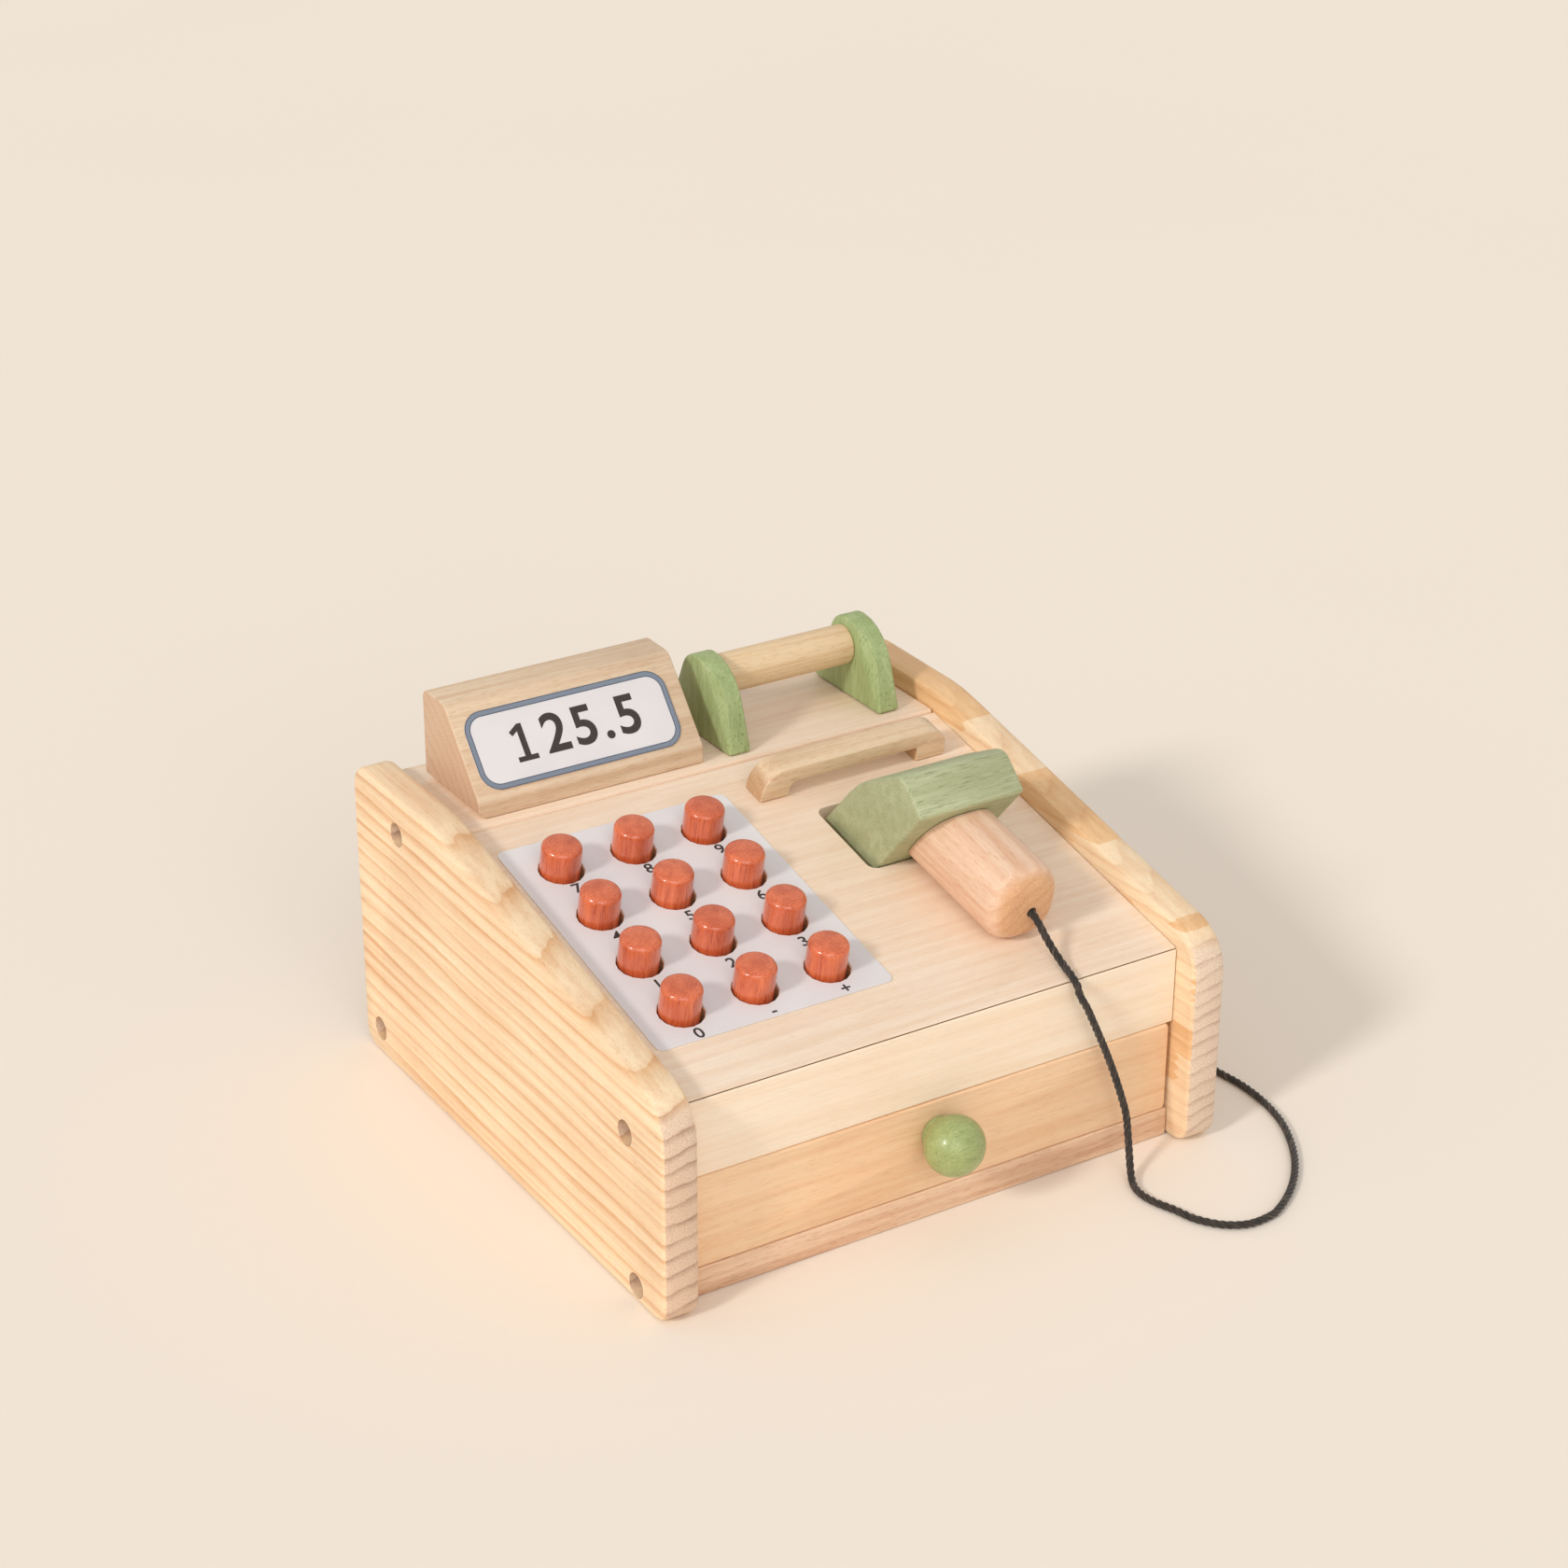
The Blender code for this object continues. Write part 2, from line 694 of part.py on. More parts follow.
def make_spring_board():
    length = SPRING_BOARD_U[1] - SPRING_BOARD_U[0]
    size = (BOARD_X[1] - BOARD_X[0], length, SPRING_BOARD_THICKNESS)
    middle = (SPRING_BOARD_U[0] + length / 2, SPRING_BOARD_TOP - SPRING_BOARD_THICKNESS / 2)
    mesh = box_mesh("spring_board", size)
    add_part("spring_board", mesh, slope_frame(WIDTH / 2, *middle), "pale_wood")


def make_keypad_label():
    half_x = (KEYPAD_X[1] - KEYPAD_X[0]) / 2
    half_u = (KEYPAD_U[1] - KEYPAD_U[0]) / 2
    middle = (KEYPAD_X[0] + half_x, KEYPAD_U[0] + half_u)
    outlines = [rectangle(half_x, half_u, KEYPAD_CORNER)]
    for u in KEY_ROWS:
        for x in KEY_COLUMNS:
            outlines.append(circle(x - middle[0], u - middle[1], LABEL_HOLE_RADIUS))
    mesh = outline_mesh("keypad_label", outlines, KEYPAD_THICKNESS)
    matrix = slope_frame(*middle, LABEL_GAP + KEYPAD_THICKNESS / 2)
    add_part("keypad_label", mesh, matrix, "label_film")


# Display


def make_display():
    face_y, face_z = DISPLAY_FACE_START
    lean = math.tan(DISPLAY_FACE_LEAN)
    bottom = REAR_DECK_Z[1] + GAP
    front_z = face_z - (face_y - DISPLAY_Y[0]) / lean
    crest_y = face_y + (DISPLAY_TOP - face_z) * lean
    outline = rounded(
        [
            (DISPLAY_Y[0], bottom, 0.0006),
            (DISPLAY_Y[1], bottom, 0.0006),
            (DISPLAY_Y[1], DISPLAY_TOP, 0.0035),
            (crest_y, DISPLAY_TOP, 0.0065),
            (DISPLAY_Y[0], front_z, 0.0018),
        ]
    )
    width = DISPLAY_X[1] - DISPLAY_X[0]
    mesh = outline_mesh("display_block", [outline], width, 0.0005)
    block = add_part("display_block", mesh, side_frame(DISPLAY_X[0] + width / 2), "beech")
    side = DISPLAY_CHAMFER * math.sqrt(2)
    chamfer = box_mesh("display_chamfer", (side, 2 * PANEL_DEPTH, side))
    place = Matrix.Translation(at(DISPLAY_X[0], DISPLAY_Y[0], bottom))
    cut(block, add_cutter("display_chamfer", chamfer, place @ Matrix.Rotation(math.pi / 4, 4, "Y")))


def make_display_label():
    half_x = (DISPLAY_LABEL_X[1] - DISPLAY_LABEL_X[0]) / 2
    half_s = (DISPLAY_LABEL_SPAN[1] - DISPLAY_LABEL_SPAN[0]) / 2
    up_face = Vector((0, math.sin(DISPLAY_FACE_LEAN), math.cos(DISPLAY_FACE_LEAN)))
    off_face = ALONG_X.cross(up_face)
    middle = at(DISPLAY_LABEL_X[0] + half_x, *DISPLAY_FACE_START)
    middle += up_face * (DISPLAY_LABEL_SPAN[0] + half_s)
    middle += off_face * (LABEL_GAP + DISPLAY_LABEL_THICKNESS / 2)
    outline = rectangle(half_x, half_s, DISPLAY_LABEL_CORNER)
    mesh = outline_mesh("display_label", [outline], DISPLAY_LABEL_THICKNESS)
    add_part("display_label", mesh, frame(middle, ALONG_X, up_face, off_face), "label_film")


# Paper-roll dowel


def bracket_chamfer_cutter(side, x, forward):
    """A flat cutter leaning over the bracket's front left edge, so that the chamfer fades out
    where the rounded front runs into its foot and its crown."""
    lean = BRACKET_FRONT_LEAN
    chord = Vector((0.0, math.sin(lean), math.cos(lean)))
    outward = Vector((0.0, -math.cos(lean), math.sin(lean)))
    normal = outward * math.sin(math.pi / 6) - ALONG_X * math.cos(math.pi / 6)
    size = Vector((BRACKET_TOP, BRACKET_TOP, 2 * CUT_MARGIN))
    y, z = BRACKET_CHAMFER
    touch = at(x - BRACKET_THICKNESS / 2 + BRACKET_CHAMFER_WIDTH, y - forward, z)
    matrix = frame(touch + normal * size.z / 2, chord, normal.cross(chord), normal)
    return add_cutter(f"{side}_bracket_chamfer", box_mesh("bracket_chamfer", size), matrix)


def make_brackets():
    bottom = REAR_DECK_Z[1] + GAP
    corners = [(BRACKET_Y[0], bottom, 0.0012), (BRACKET_Y[1], bottom, 0.0012)]
    corners += [(y, BRACKET_TOP, radius) for y, radius in BRACKET_CROWN]
    sides = (
        ("left", BRACKET_X[0], 1, LEFT_BRACKET_FORWARD),
        ("right", BRACKET_X[1], -1, 0.0),
    )
    half = DOWEL_BORE_DEPTH
    radius = DOWEL_BORE_RADIUS
    bore = turned_mesh("dowel_bore", [(0, half), (radius, half), (radius, -half), (0, -half)])
    for side, x, inward, forward in sides:
        name = f"bracket_{side}"
        outline = rounded([(y - forward, z, rounding) for y, z, rounding in corners])
        mesh = outline_mesh(name, [outline], BRACKET_THICKNESS, 0.0009)
        bracket = add_part(name, mesh, side_frame(x), "green_stain")
        inner_x = x + inward * BRACKET_THICKNESS / 2
        matrix = side_frame(inner_x) @ Matrix.Translation((*DOWEL_AXIS, 0))
        cut(bracket, turn(add_cutter(f"{side}_dowel_bore", bore, matrix)))
        cut(bracket, bracket_chamfer_cutter(side, x, forward))


def make_roll_dowel():
    half = (BRACKET_X[1] - BRACKET_X[0] - BRACKET_THICKNESS) / 2 - GAP
    end = half + GAP + DOWEL_PIN_LENGTH
    ease = 0.0006
    side = [(DOWEL_PIN_RADIUS, half), (DOWEL_RADIUS - ease, half), (DOWEL_RADIUS, half - ease)]
    profile = [(0.0, end), (DOWEL_PIN_RADIUS, end), *side]
    profile += [(radius, -height) for radius, height in reversed(profile)]
    matrix = side_frame(sum(BRACKET_X) / 2) @ Matrix.Translation((*DOWEL_AXIS, 0))
    turn(add_part("roll_dowel", turned_mesh("roll_dowel", profile), matrix, "beech"))


# Card reader


def make_card_reader():
    left, right = READER_X
    slot_left, slot_right = READER_SLOT_X
    left_rounding, right_rounding = READER_ROUNDING
    left_fillet, right_fillet = READER_SLOT_ROUNDING
    outline = rounded(
        [
            (left, GAP, 0.0006),
            (slot_left, GAP, 0.0006),
            (slot_left, READER_SLOT_HEIGHT, left_fillet),
            (slot_right, READER_SLOT_HEIGHT, right_fillet),
            (slot_right, GAP, 0.0006),
            (right, GAP, 0.0006),
            (right, READER_HEIGHT, right_rounding),
            (left, READER_HEIGHT, left_rounding),
        ]
    )
    mesh = outline_mesh("card_reader", [outline], READER_U[1] - READER_U[0], 0.0005)
    matrix = frame(on_slope(0, sum(READER_U) / 2, 0), ALONG_X, OFF_SLOPE, -UP_SLOPE)
    add_part("card_reader", mesh, matrix, "beech")


# Hand scanner


def make_scanner_head():
    (ridge_u, ridge_h), (lean_u, lean_h) = SCANNER_FACE
    foot_u = ridge_u + lean_u / lean_h * (SCANNER_FOOT - ridge_h)
    outline = rounded(
        [
            (foot_u, SCANNER_FOOT, 0.0018),
            (0.1352, SCANNER_FOOT, 0.0018),
            (0.1352, -0.0029, 0.0020),
            (0.1178, 0.0264, 0.0480),
            (0.0910, 0.0480, 0.0070),
            (ridge_u, ridge_h, 0.0018),
        ]
    )
    mesh = outline_mesh("scanner_head", [outline], SCANNER_WIDTH, 0.0016)
    return add_part("scanner_head", mesh, section_frame(SCANNER_X), "green_stain")


def handle_outline():
    """A rounded bar's section, a superellipse."""
    points = []
    for step in range(ROUND_STEPS + 4):
        angle = 2 * math.pi * step / (ROUND_STEPS + 4)
        a = math.copysign(abs(math.cos(angle)) ** (2 / HANDLE_SQUARENESS), math.cos(angle))
        b = math.copysign(abs(math.sin(angle)) ** (2 / HANDLE_SQUARENESS), math.sin(angle))
        points.append(Vector((a * HANDLE_WIDTH / 2, b * HANDLE_THICKNESS / 2)))
    return points


def make_scanner_handle():
    """The grip lies along the deck from its free end to the head's sloping face."""
    turned = Matrix.Rotation(HANDLE_TURN, 3, OFF_SLOPE) @ Matrix.Rotation(HANDLE_RISE, 3, ALONG_X)
    across, axis, rise = (turned @ side for side in (ALONG_X, UP_SLOPE, OFF_SLOPE))
    end = on_slope(*HANDLE_END)
    mesh = outline_mesh("scanner_handle", [handle_outline()], HANDLE_LENGTH, HANDLE_EDGE)
    matrix = frame(end + axis * HANDLE_LENGTH / 2, across, rise, -axis)
    handle = add_part("scanner_handle", mesh, matrix, "beech")

    (ridge_u, ridge_h), (lean_u, lean_h) = SCANNER_FACE
    up_face = (UP_SLOPE * lean_u + OFF_SLOPE * lean_h).normalized()
    into_head = up_face.cross(ALONG_X)
    size = Vector((3 * HANDLE_WIDTH, 4 * HANDLE_THICKNESS, HANDLE_LENGTH))
    face = on_slope(SCANNER_X, ridge_u, ridge_h) - into_head * GAP
    root = frame(face + into_head * size.z / 2, ALONG_X, up_face, ALONG_X.cross(up_face))
    cut(handle, add_cutter("handle_root", box_mesh("handle_root", size), root))

    half = CORD_HOLE_DEPTH
    radius = CORD_HOLE_RADIUS
    hole = turned_mesh("cord_hole", [(0, half), (radius, half), (radius, -half), (0, -half)])
    offset = across * CORD_HOLE_OFFSET[0] + rise * CORD_HOLE_OFFSET[1]
    mouth = frame(end + offset, across, rise, -axis)
    cut(handle, turn(add_cutter("cord_hole", hole, mouth), SMALL_STEPS))
    return handle


# Drawer


def make_drawer_front():
    half_x = (DRAWER_FRONT_X[1] - DRAWER_FRONT_X[0]) / 2
    half_z = (DRAWER_FRONT_Z[1] - DRAWER_FRONT_Z[0]) / 2
    thickness = DRAWER_FRONT_THICKNESS
    mesh = outline_mesh("drawer_front", [rectangle(half_x, half_z, 0.0022)], thickness, 0.0010)
    middle = at(DRAWER_FRONT_X[0] + half_x, FACE_Y + thickness / 2, DRAWER_FRONT_Z[0] + half_z)
    matrix = frame(middle, ALONG_X, ALONG_Z, -ALONG_Y)
    front = add_part("drawer_front", mesh, matrix, "peach_wood")
    half = thickness / 2 + CUT_MARGIN
    radius = SCREW_HOLE_RADIUS
    hole = turned_mesh("knob_hole", [(0, half), (radius, half), (radius, -half), (0, -half)])
    place = at(KNOB_CENTRE[0], FACE_Y + thickness / 2, KNOB_CENTRE[1])
    hole = turn(add_cutter("knob_hole", hole, frame(place, ALONG_X, ALONG_Z, -ALONG_Y)))
    cut(front, hole)
    return front


def make_drawer_box():
    """Two sides, a back and a bottom held between them behind the front."""
    x0, x1 = DRAWER_BOX_X
    front = FACE_Y + DRAWER_FRONT_THICKNESS + GAP
    back = DRAWER_BOX_BACK
    low, high = DRAWER_FRONT_Z[0], DRAWER_WALL_TOP
    inner = (x0 + DRAWER_WALL + GAP, x1 - DRAWER_WALL - GAP)
    wood = "pale_wood"
    edge = 0.0008
    return [
        add_board("drawer_left", (x0, front, low), (x0 + DRAWER_WALL, back, high), wood, edge),
        add_board("drawer_right", (x1 - DRAWER_WALL, front, low), (x1, back, high), wood, edge),
        add_board("drawer_back", (inner[0], back - DRAWER_WALL, low), (inner[1], back, high), wood, edge),
        add_board(
            "drawer_bottom",
            (inner[0], front, DRAWER_BOTTOM_Z[0]),
            (inner[1], back - DRAWER_WALL - GAP, DRAWER_BOTTOM_Z[1]),
            wood,
        ),
    ]


def make_knob():
    """A ball on a short neck, with a blind hole for its screw. Z runs forwards from the drawer."""
    front = FACE_Y + KNOB_REACH
    middle = front - KNOB_HALF_DEPTH
    neck = math.asin(KNOB_NECK_RADIUS / KNOB_RADIUS)
    last = math.pi - neck
    steps = ROUND_STEPS // 2
    profile = []
    for step in range(steps + 1):
        angle = last * step / steps
        profile.append((KNOB_RADIUS * math.sin(angle), middle + KNOB_HALF_DEPTH * math.cos(angle)))
    profile[0] = (0.0, front)
    depth = KNOB_SCREW_LENGTH - DRAWER_FRONT_THICKNESS + GAP * 4
    profile += [(KNOB_NECK_RADIUS, GAP), (SCREW_HOLE_RADIUS, GAP), (SCREW_HOLE_RADIUS, depth)]
    profile.append((0.0, depth))
    place = at(KNOB_CENTRE[0], FACE_Y, KNOB_CENTRE[1])
    matrix = frame(place, ALONG_X, ALONG_Z, -ALONG_Y)
    return turn(add_part("drawer_knob", turned_mesh("drawer_knob", profile), matrix, "green_stain"))


def make_knob_screw():
    place = at(KNOB_CENTRE[0], FACE_Y + DRAWER_FRONT_THICKNESS + GAP, KNOB_CENTRE[1])
    mesh = screw_mesh("knob_screw", KNOB_SCREW_LENGTH)
    return add_part("knob_screw", mesh, frame(place, ALONG_X, -ALONG_Z, ALONG_Y), "screw_steel")


# Cord


def smooth_path(points, spacing):
    """Points about spacing apart on a Catmull-Rom curve through points."""
    ends = [points[0] * 2 - points[1], *points, points[-1] * 2 - points[-2]]
    path = []
    for before, start, stop, after in zip(ends, ends[1:], ends[2:], ends[3:]):
        steps = max(1, round((stop - start).length / spacing))
        for step in range(steps):
            t = step / steps
            bend = (before * 2 - start * 5 + stop * 4 - after) * t * t
            twist = (start * 3 - before - stop * 3 + after) * t * t * t
            path.append((start * 2 + (stop - before) * t + bend + twist) / 2)
    path.append(points[-1])
    return path


def make_cord():
    """The cord in three stretches that meet end to end: from the mouth of the handle's hole over
    the deck, down the front and round on the table, and back to the right panel."""
    route = [on_slope(*place) for place in DECK_ROUTE] + [at(*place) for place in FLOOR_ROUTE]
    path = smooth_path(route, CORD_SPACING)
    lowest = min(range(len(path)), key=lambda i: path[i].z)
    edge = next(i for i in range(len(path)) if path[i].z < CORD_SPLITS[0])
    turn_back = next(i for i in range(lowest, len(path)) if path[i].y > at(0, CORD_SPLITS[1], 0).y)
    seams = [0, edge, turn_back, len(path) - 1]
    for name, first, last in zip(("cord_deck", "cord_table", "cord_rear"), seams, seams[1:]):
        points = path[first : last + 1]
        if first > 0:
            points[:1] = seam_end(path, first, 1)
        if last < len(path) - 1:
            points[-1:] = reversed(seam_end(path, last, -1))
        add_part(name, tube_curve(name, points, CORD_RADIUS, 2), Matrix(), "braid")


def seam_end(path, index, side):
    """The first two points of a stretch that starts at a seam, so that its end face is square to
    the cord there. side is 1 for the stretch after the seam and -1 for the one before it."""
    along = (path[index + 1] - path[index - 1]).normalized() * side
    return [path[index] + along * GAP / 2, path[index] + along * CORD_RADIUS]


def make_register():
    holes = {side: screw_hole_cutters(side) for side in ("left", "right")}
    make_side_panels(holes)
    make_flat_boards(holes)
    make_front_rail(holes)
    make_slope_deck()
    make_side_screws()
    make_keypad_label()
    make_keys()
    make_spring_board()
    make_display()
    make_display_label()
    make_brackets()
    make_roll_dowel()
    make_card_reader()
    group("scanner", on_slope(SCANNER_X, 0, 0), [make_scanner_head(), make_scanner_handle()])
    drawer = [make_drawer_front(), *make_drawer_box(), make_knob(), make_knob_screw()]
    group("drawer", at(KNOB_CENTRE[0], FACE_Y, KNOB_CENTRE[1]), drawer)
    make_cord()


for leftover in list(bpy.data.objects):
    bpy.data.objects.remove(leftover, do_unlink=True)
PARTS = collection("toy_cash_register")
CUTTERS = collection("cutters")
make_register()
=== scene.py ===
"""The looks of the wooden toy cash register, built round its CAD frame.

Metres, +X to the user's right, +Y to the back, +Z up. Sizes named X are measured from the left
panel's outer face and sizes named Y from the panels' front edges. On the sloping deck U runs up
the slope and H stands off it.
"""

import json
import math

import bmesh
import bpy
from mathutils import Matrix, Vector


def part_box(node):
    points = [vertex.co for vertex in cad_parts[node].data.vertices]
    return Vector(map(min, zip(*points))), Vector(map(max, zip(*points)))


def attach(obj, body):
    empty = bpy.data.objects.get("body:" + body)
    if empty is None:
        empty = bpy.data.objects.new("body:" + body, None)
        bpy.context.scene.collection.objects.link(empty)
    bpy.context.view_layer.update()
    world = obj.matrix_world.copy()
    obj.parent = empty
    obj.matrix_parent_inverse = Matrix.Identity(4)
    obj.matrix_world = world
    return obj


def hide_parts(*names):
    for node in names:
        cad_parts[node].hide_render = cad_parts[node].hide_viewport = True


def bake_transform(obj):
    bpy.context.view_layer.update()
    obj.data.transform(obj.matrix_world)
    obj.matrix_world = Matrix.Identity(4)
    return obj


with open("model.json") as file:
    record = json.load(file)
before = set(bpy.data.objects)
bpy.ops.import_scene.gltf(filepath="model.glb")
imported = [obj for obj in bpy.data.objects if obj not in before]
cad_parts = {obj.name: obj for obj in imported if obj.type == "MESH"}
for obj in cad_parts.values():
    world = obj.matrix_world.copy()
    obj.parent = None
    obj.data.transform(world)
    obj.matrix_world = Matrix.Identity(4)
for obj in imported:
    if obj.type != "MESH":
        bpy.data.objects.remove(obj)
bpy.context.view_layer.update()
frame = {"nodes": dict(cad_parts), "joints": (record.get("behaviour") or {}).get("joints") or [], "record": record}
NODES = frame["nodes"]
JOINTS = {joint["name"]: joint for joint in frame["joints"]}
BODIES = frame["record"]["behaviour"]["bodies"]
BODY_OF = {node: body for body, nodes in BODIES.items() for node in nodes}

ALONG_X = Vector((1.0, 0.0, 0.0))
ALONG_Y = Vector((0.0, 1.0, 0.0))
ALONG_Z = Vector((0.0, 0.0, 1.0))
OFF_SLOPE = Vector(JOINTS["scanner_lift"]["axis"]).normalized()
UP_SLOPE = OFF_SLOPE.cross(ALONG_X)
SLOPE = math.atan2(UP_SLOPE.z, UP_SLOPE.y)
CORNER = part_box("left_side_panel")[0]
DECK_START = (0.0058, 0.0822)  # Y and Z of the deck's plane where U = 0

# Camera
CAMERA_PLACE = Vector((-0.62692, -0.99588, 0.70637))
CAMERA_BACK = Vector((-0.47860, -0.76276, 0.43490)).normalized()
CAMERA_RIGHT = Vector((0.84801, -0.52996, 0.00373))
CAMERA_LENS = 77.81

# Cord
CORD_RADIUS = 0.00155
CORD_SPACING = 0.0075
CORD_SPLITS = (0.0800, 0.0420)  # the Z of the first seam and the Y of the second
CORD_GAP = 0.0003
CORD_STRANDS = 4
CORD_PITCH = 0.012
CORD_DETAIL = 0.0006  # between the rings of its mesh
CORD_SIDES = 30
STRAND_DEPTH = 0.72  # of the radius, at the bottom of the grooves
INSIDE_HANDLE = ((0.1824, 0.0372, 0.0146), (0.1825, 0.0345, 0.0146))  # X, U and H
DECK_ROUTE = (  # X, U and H
    (0.1827, 0.0322, 0.0140),
    (0.1832, 0.0288, 0.0122),
    (0.1842, 0.0252, 0.0087),
    (0.1853, 0.0212, 0.0054),
    (0.1860, 0.0168, 0.0031),
    (0.1861, 0.0122, 0.0020),
    (0.1857, 0.0080, 0.0018),
)
FLOOR_ROUTE = (  # X, Y and Z
    (0.1852, 0.0088, 0.0836),
    (0.1856, 0.0069, 0.0796),
    (0.1884, 0.0062, 0.0740),
    (0.1947, 0.0058, 0.0600),
    (0.1997, 0.0054, 0.0480),
    (0.2042, 0.0044, 0.0350),
    (0.2072, 0.0024, 0.0220),
    (0.2063, -0.0010, 0.0118),
    (0.2038, -0.0060, 0.0044),
    (0.2008, -0.0118, 0.0018),
    (0.1990, -0.0185, 0.0016),
    (0.1998, -0.0262, 0.0016),
    (0.2030, -0.0348, 0.0016),
    (0.2059, -0.0440, 0.0016),
    (0.2122, -0.0525, 0.0016),
    (0.2212, -0.0574, 0.0016),
    (0.2322, -0.0571, 0.0016),
    (0.2442, -0.0510, 0.0016),
    (0.2558, -0.0416, 0.0016),
    (0.2656, -0.0303, 0.0016),
    (0.2736, -0.0174, 0.0016),
    (0.2793, -0.0042, 0.0016),
    (0.2826, 0.0115, 0.0016),
    (0.2829, 0.0262, 0.0016),
    (0.2806, 0.0420, 0.0016),
    (0.2790, 0.0560, 0.0018),
    (0.2780, 0.0700, 0.0034),
    (0.2768, 0.0820, 0.0085),
    (0.2740, 0.0930, 0.0165),
    (0.2690, 0.1025, 0.0245),
    (0.2620, 0.1080, 0.0290),
    (0.2550, 0.1098, 0.0299),
    (0.2440, 0.1100, 0.0300),
)


# Places


def at(x, y, z):
    return Vector((CORNER.x + x, CORNER.y + y, z))


def on_slope(x, u, h):
    return at(x, *DECK_START) + UP_SLOPE * u + OFF_SLOPE * h


def axes(origin, x_axis, y_axis, z_axis):
    matrix = Matrix((x_axis, y_axis, z_axis)).transposed().to_4x4()
    matrix.translation = origin
    return matrix


def middle(node):
    low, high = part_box(node)
    return (low + high) / 2


# Materials


class Surface:
    """A node material and short calls that add to it."""

    def __init__(self, name, **sockets):
        self.material = bpy.data.materials.new(name)
        self.material.use_nodes = True
        self.tree = self.material.node_tree
        self.shader = self.tree.nodes["Principled BSDF"]
        self.place = self.node("ShaderNodeTexCoord").outputs["Object"]
        for socket, value in sockets.items():
            self.set(socket.replace("_", " "), value)

    def feed(self, socket, value):
        if isinstance(value, bpy.types.NodeSocket):
            self.tree.links.new(value, socket)
        else:
            socket.default_value = value

    def set(self, socket, value):
        """Sets or links one of the shader's own inputs."""
        self.feed(self.shader.inputs[socket], value)

    def node(self, kind, inputs=None, **settings):
        made = self.tree.nodes.new(kind)
        for key, value in settings.items():
            setattr(made, key, value)
        for key, value in (inputs or {}).items():
            self.feed(made.inputs[key], value)
        return made

    def maths(self, operation, a, b=0.0, c=0.0):
        return self.node("ShaderNodeMath", {0: a, 1: b, 2: c}, operation=operation).outputs[0]

    def stretch(self, scale, shift=(0, 0, 0), turn=(0, 0, 0), place=None):
        inputs = {"Vector": place or self.place, "Scale": scale, "Location": shift, "Rotation": turn}
        return self.node("ShaderNodeMapping", inputs).outputs[0]

    def noise(self, place, detail=3.0):
        return self.node("ShaderNodeTexNoise", {"Vector": place, "Scale": 1.0, "Detail": detail}).outputs[0]

    def grain(self, axis, counts, place, detail=3.0, shift=(0, 0, 0)):
        """Noise drawn out along an axis: counts are features a metre along and across it."""
        return self.noise(self.stretch(across(axis, *counts), shift=shift, place=place), detail)

    def specks(self, count, detail):
        """Even noise with count features a metre."""
        return self.noise(self.stretch((count, count, count)), detail)

    def ramp(self, value, *stops):
        """Colours or greys at positions along value."""
        made = self.node("ShaderNodeValToRGB", {0: value})
        elements = made.color_ramp.elements
        while len(elements) < len(stops):
            elements.new(0.5)
        for element, (position, colour) in zip(elements, stops):
            element.position = position
            element.color = (*colour, 1) if isinstance(colour, tuple) else (colour, colour, colour, 1)
        return made.outputs[0]

    def mix(self, share, a, b, blend="MIX"):
        made = self.node("ShaderNodeMix", {0: share}, data_type="RGBA", blend_type=blend)
        for socket, value in ((made.inputs[6], a), (made.inputs[7], b)):
            if isinstance(value, float):
                value = (value, value, value, 1)
            elif isinstance(value, tuple):
                value = (*value, 1)
            self.feed(socket, value)
        return made.outputs[2]

    def roughen(self, value, low, spread):
        """Roughness from low up to low + spread, as value goes from 0 to 1."""
        self.set("Roughness", self.maths("MULTIPLY_ADD", value, spread, low))

    def bump(self, height, distance, strength=1.0):
        made = self.node("ShaderNodeBump", {"Height": height, "Distance": distance, "Strength": strength})
        self.set("Normal", made.outputs[0])


def srgb(code):
    """The linear colour of a hex code."""
    parts = [int(code[i : i + 2], 16) / 255 for i in (0, 2, 4)]
    return tuple(p / 12.92 if p <= 0.04045 else ((p + 0.055) / 1.055) ** 2.4 for p in parts)


AXES = {"X": (1, 0, 0), "Y": (0, 1, 0), "Z": (0, 0, 1)}

# Grain, in features a metre along it and across it
SLOW_WAVE = (5, 24)
SLIGHT_WAVE = (22, 150)
LATE_PATCHES = (12, 90)
FIBRES = (45, 1500)
STREAKS = (9, 330)
PORES = (190, 2600)
STAINED_FIBRES = (60, 1300)
STAINED_STREAKS = (14, 240)
STAINED_PORES = (130, 1700)

# Wood
SLIGHT_SHIFT = (3, 1, 2)
SLIGHT_SHARE = 0.18  # of the slow wave's height
RING_PROFILE = ((0.0, 0.45), (0.10, 0.03), (0.62, 0.10), (0.88, 0.72), (0.95, 1.0))
FIBRE_SHADE = 0.72
END_RING_GAIN = 1.25  # rings are plainer in end grain
WOOD_RELIEF = {"fibre": 0.6, "pore": 0.5, "late": 0.10, "distance": 0.00012, "strength": 0.6}

# Finger-jointed board
BLOCK_STAGGER = 0.37  # of a block's length, from one strip to the next
FINGERS = 6  # across half a strip and back
FINGER_LENGTH = 0.05  # of a block's length


def across(axis, along, other):
    """A scale with one value along the grain and another across it."""
    return tuple(along if part else other for part in AXES[axis])


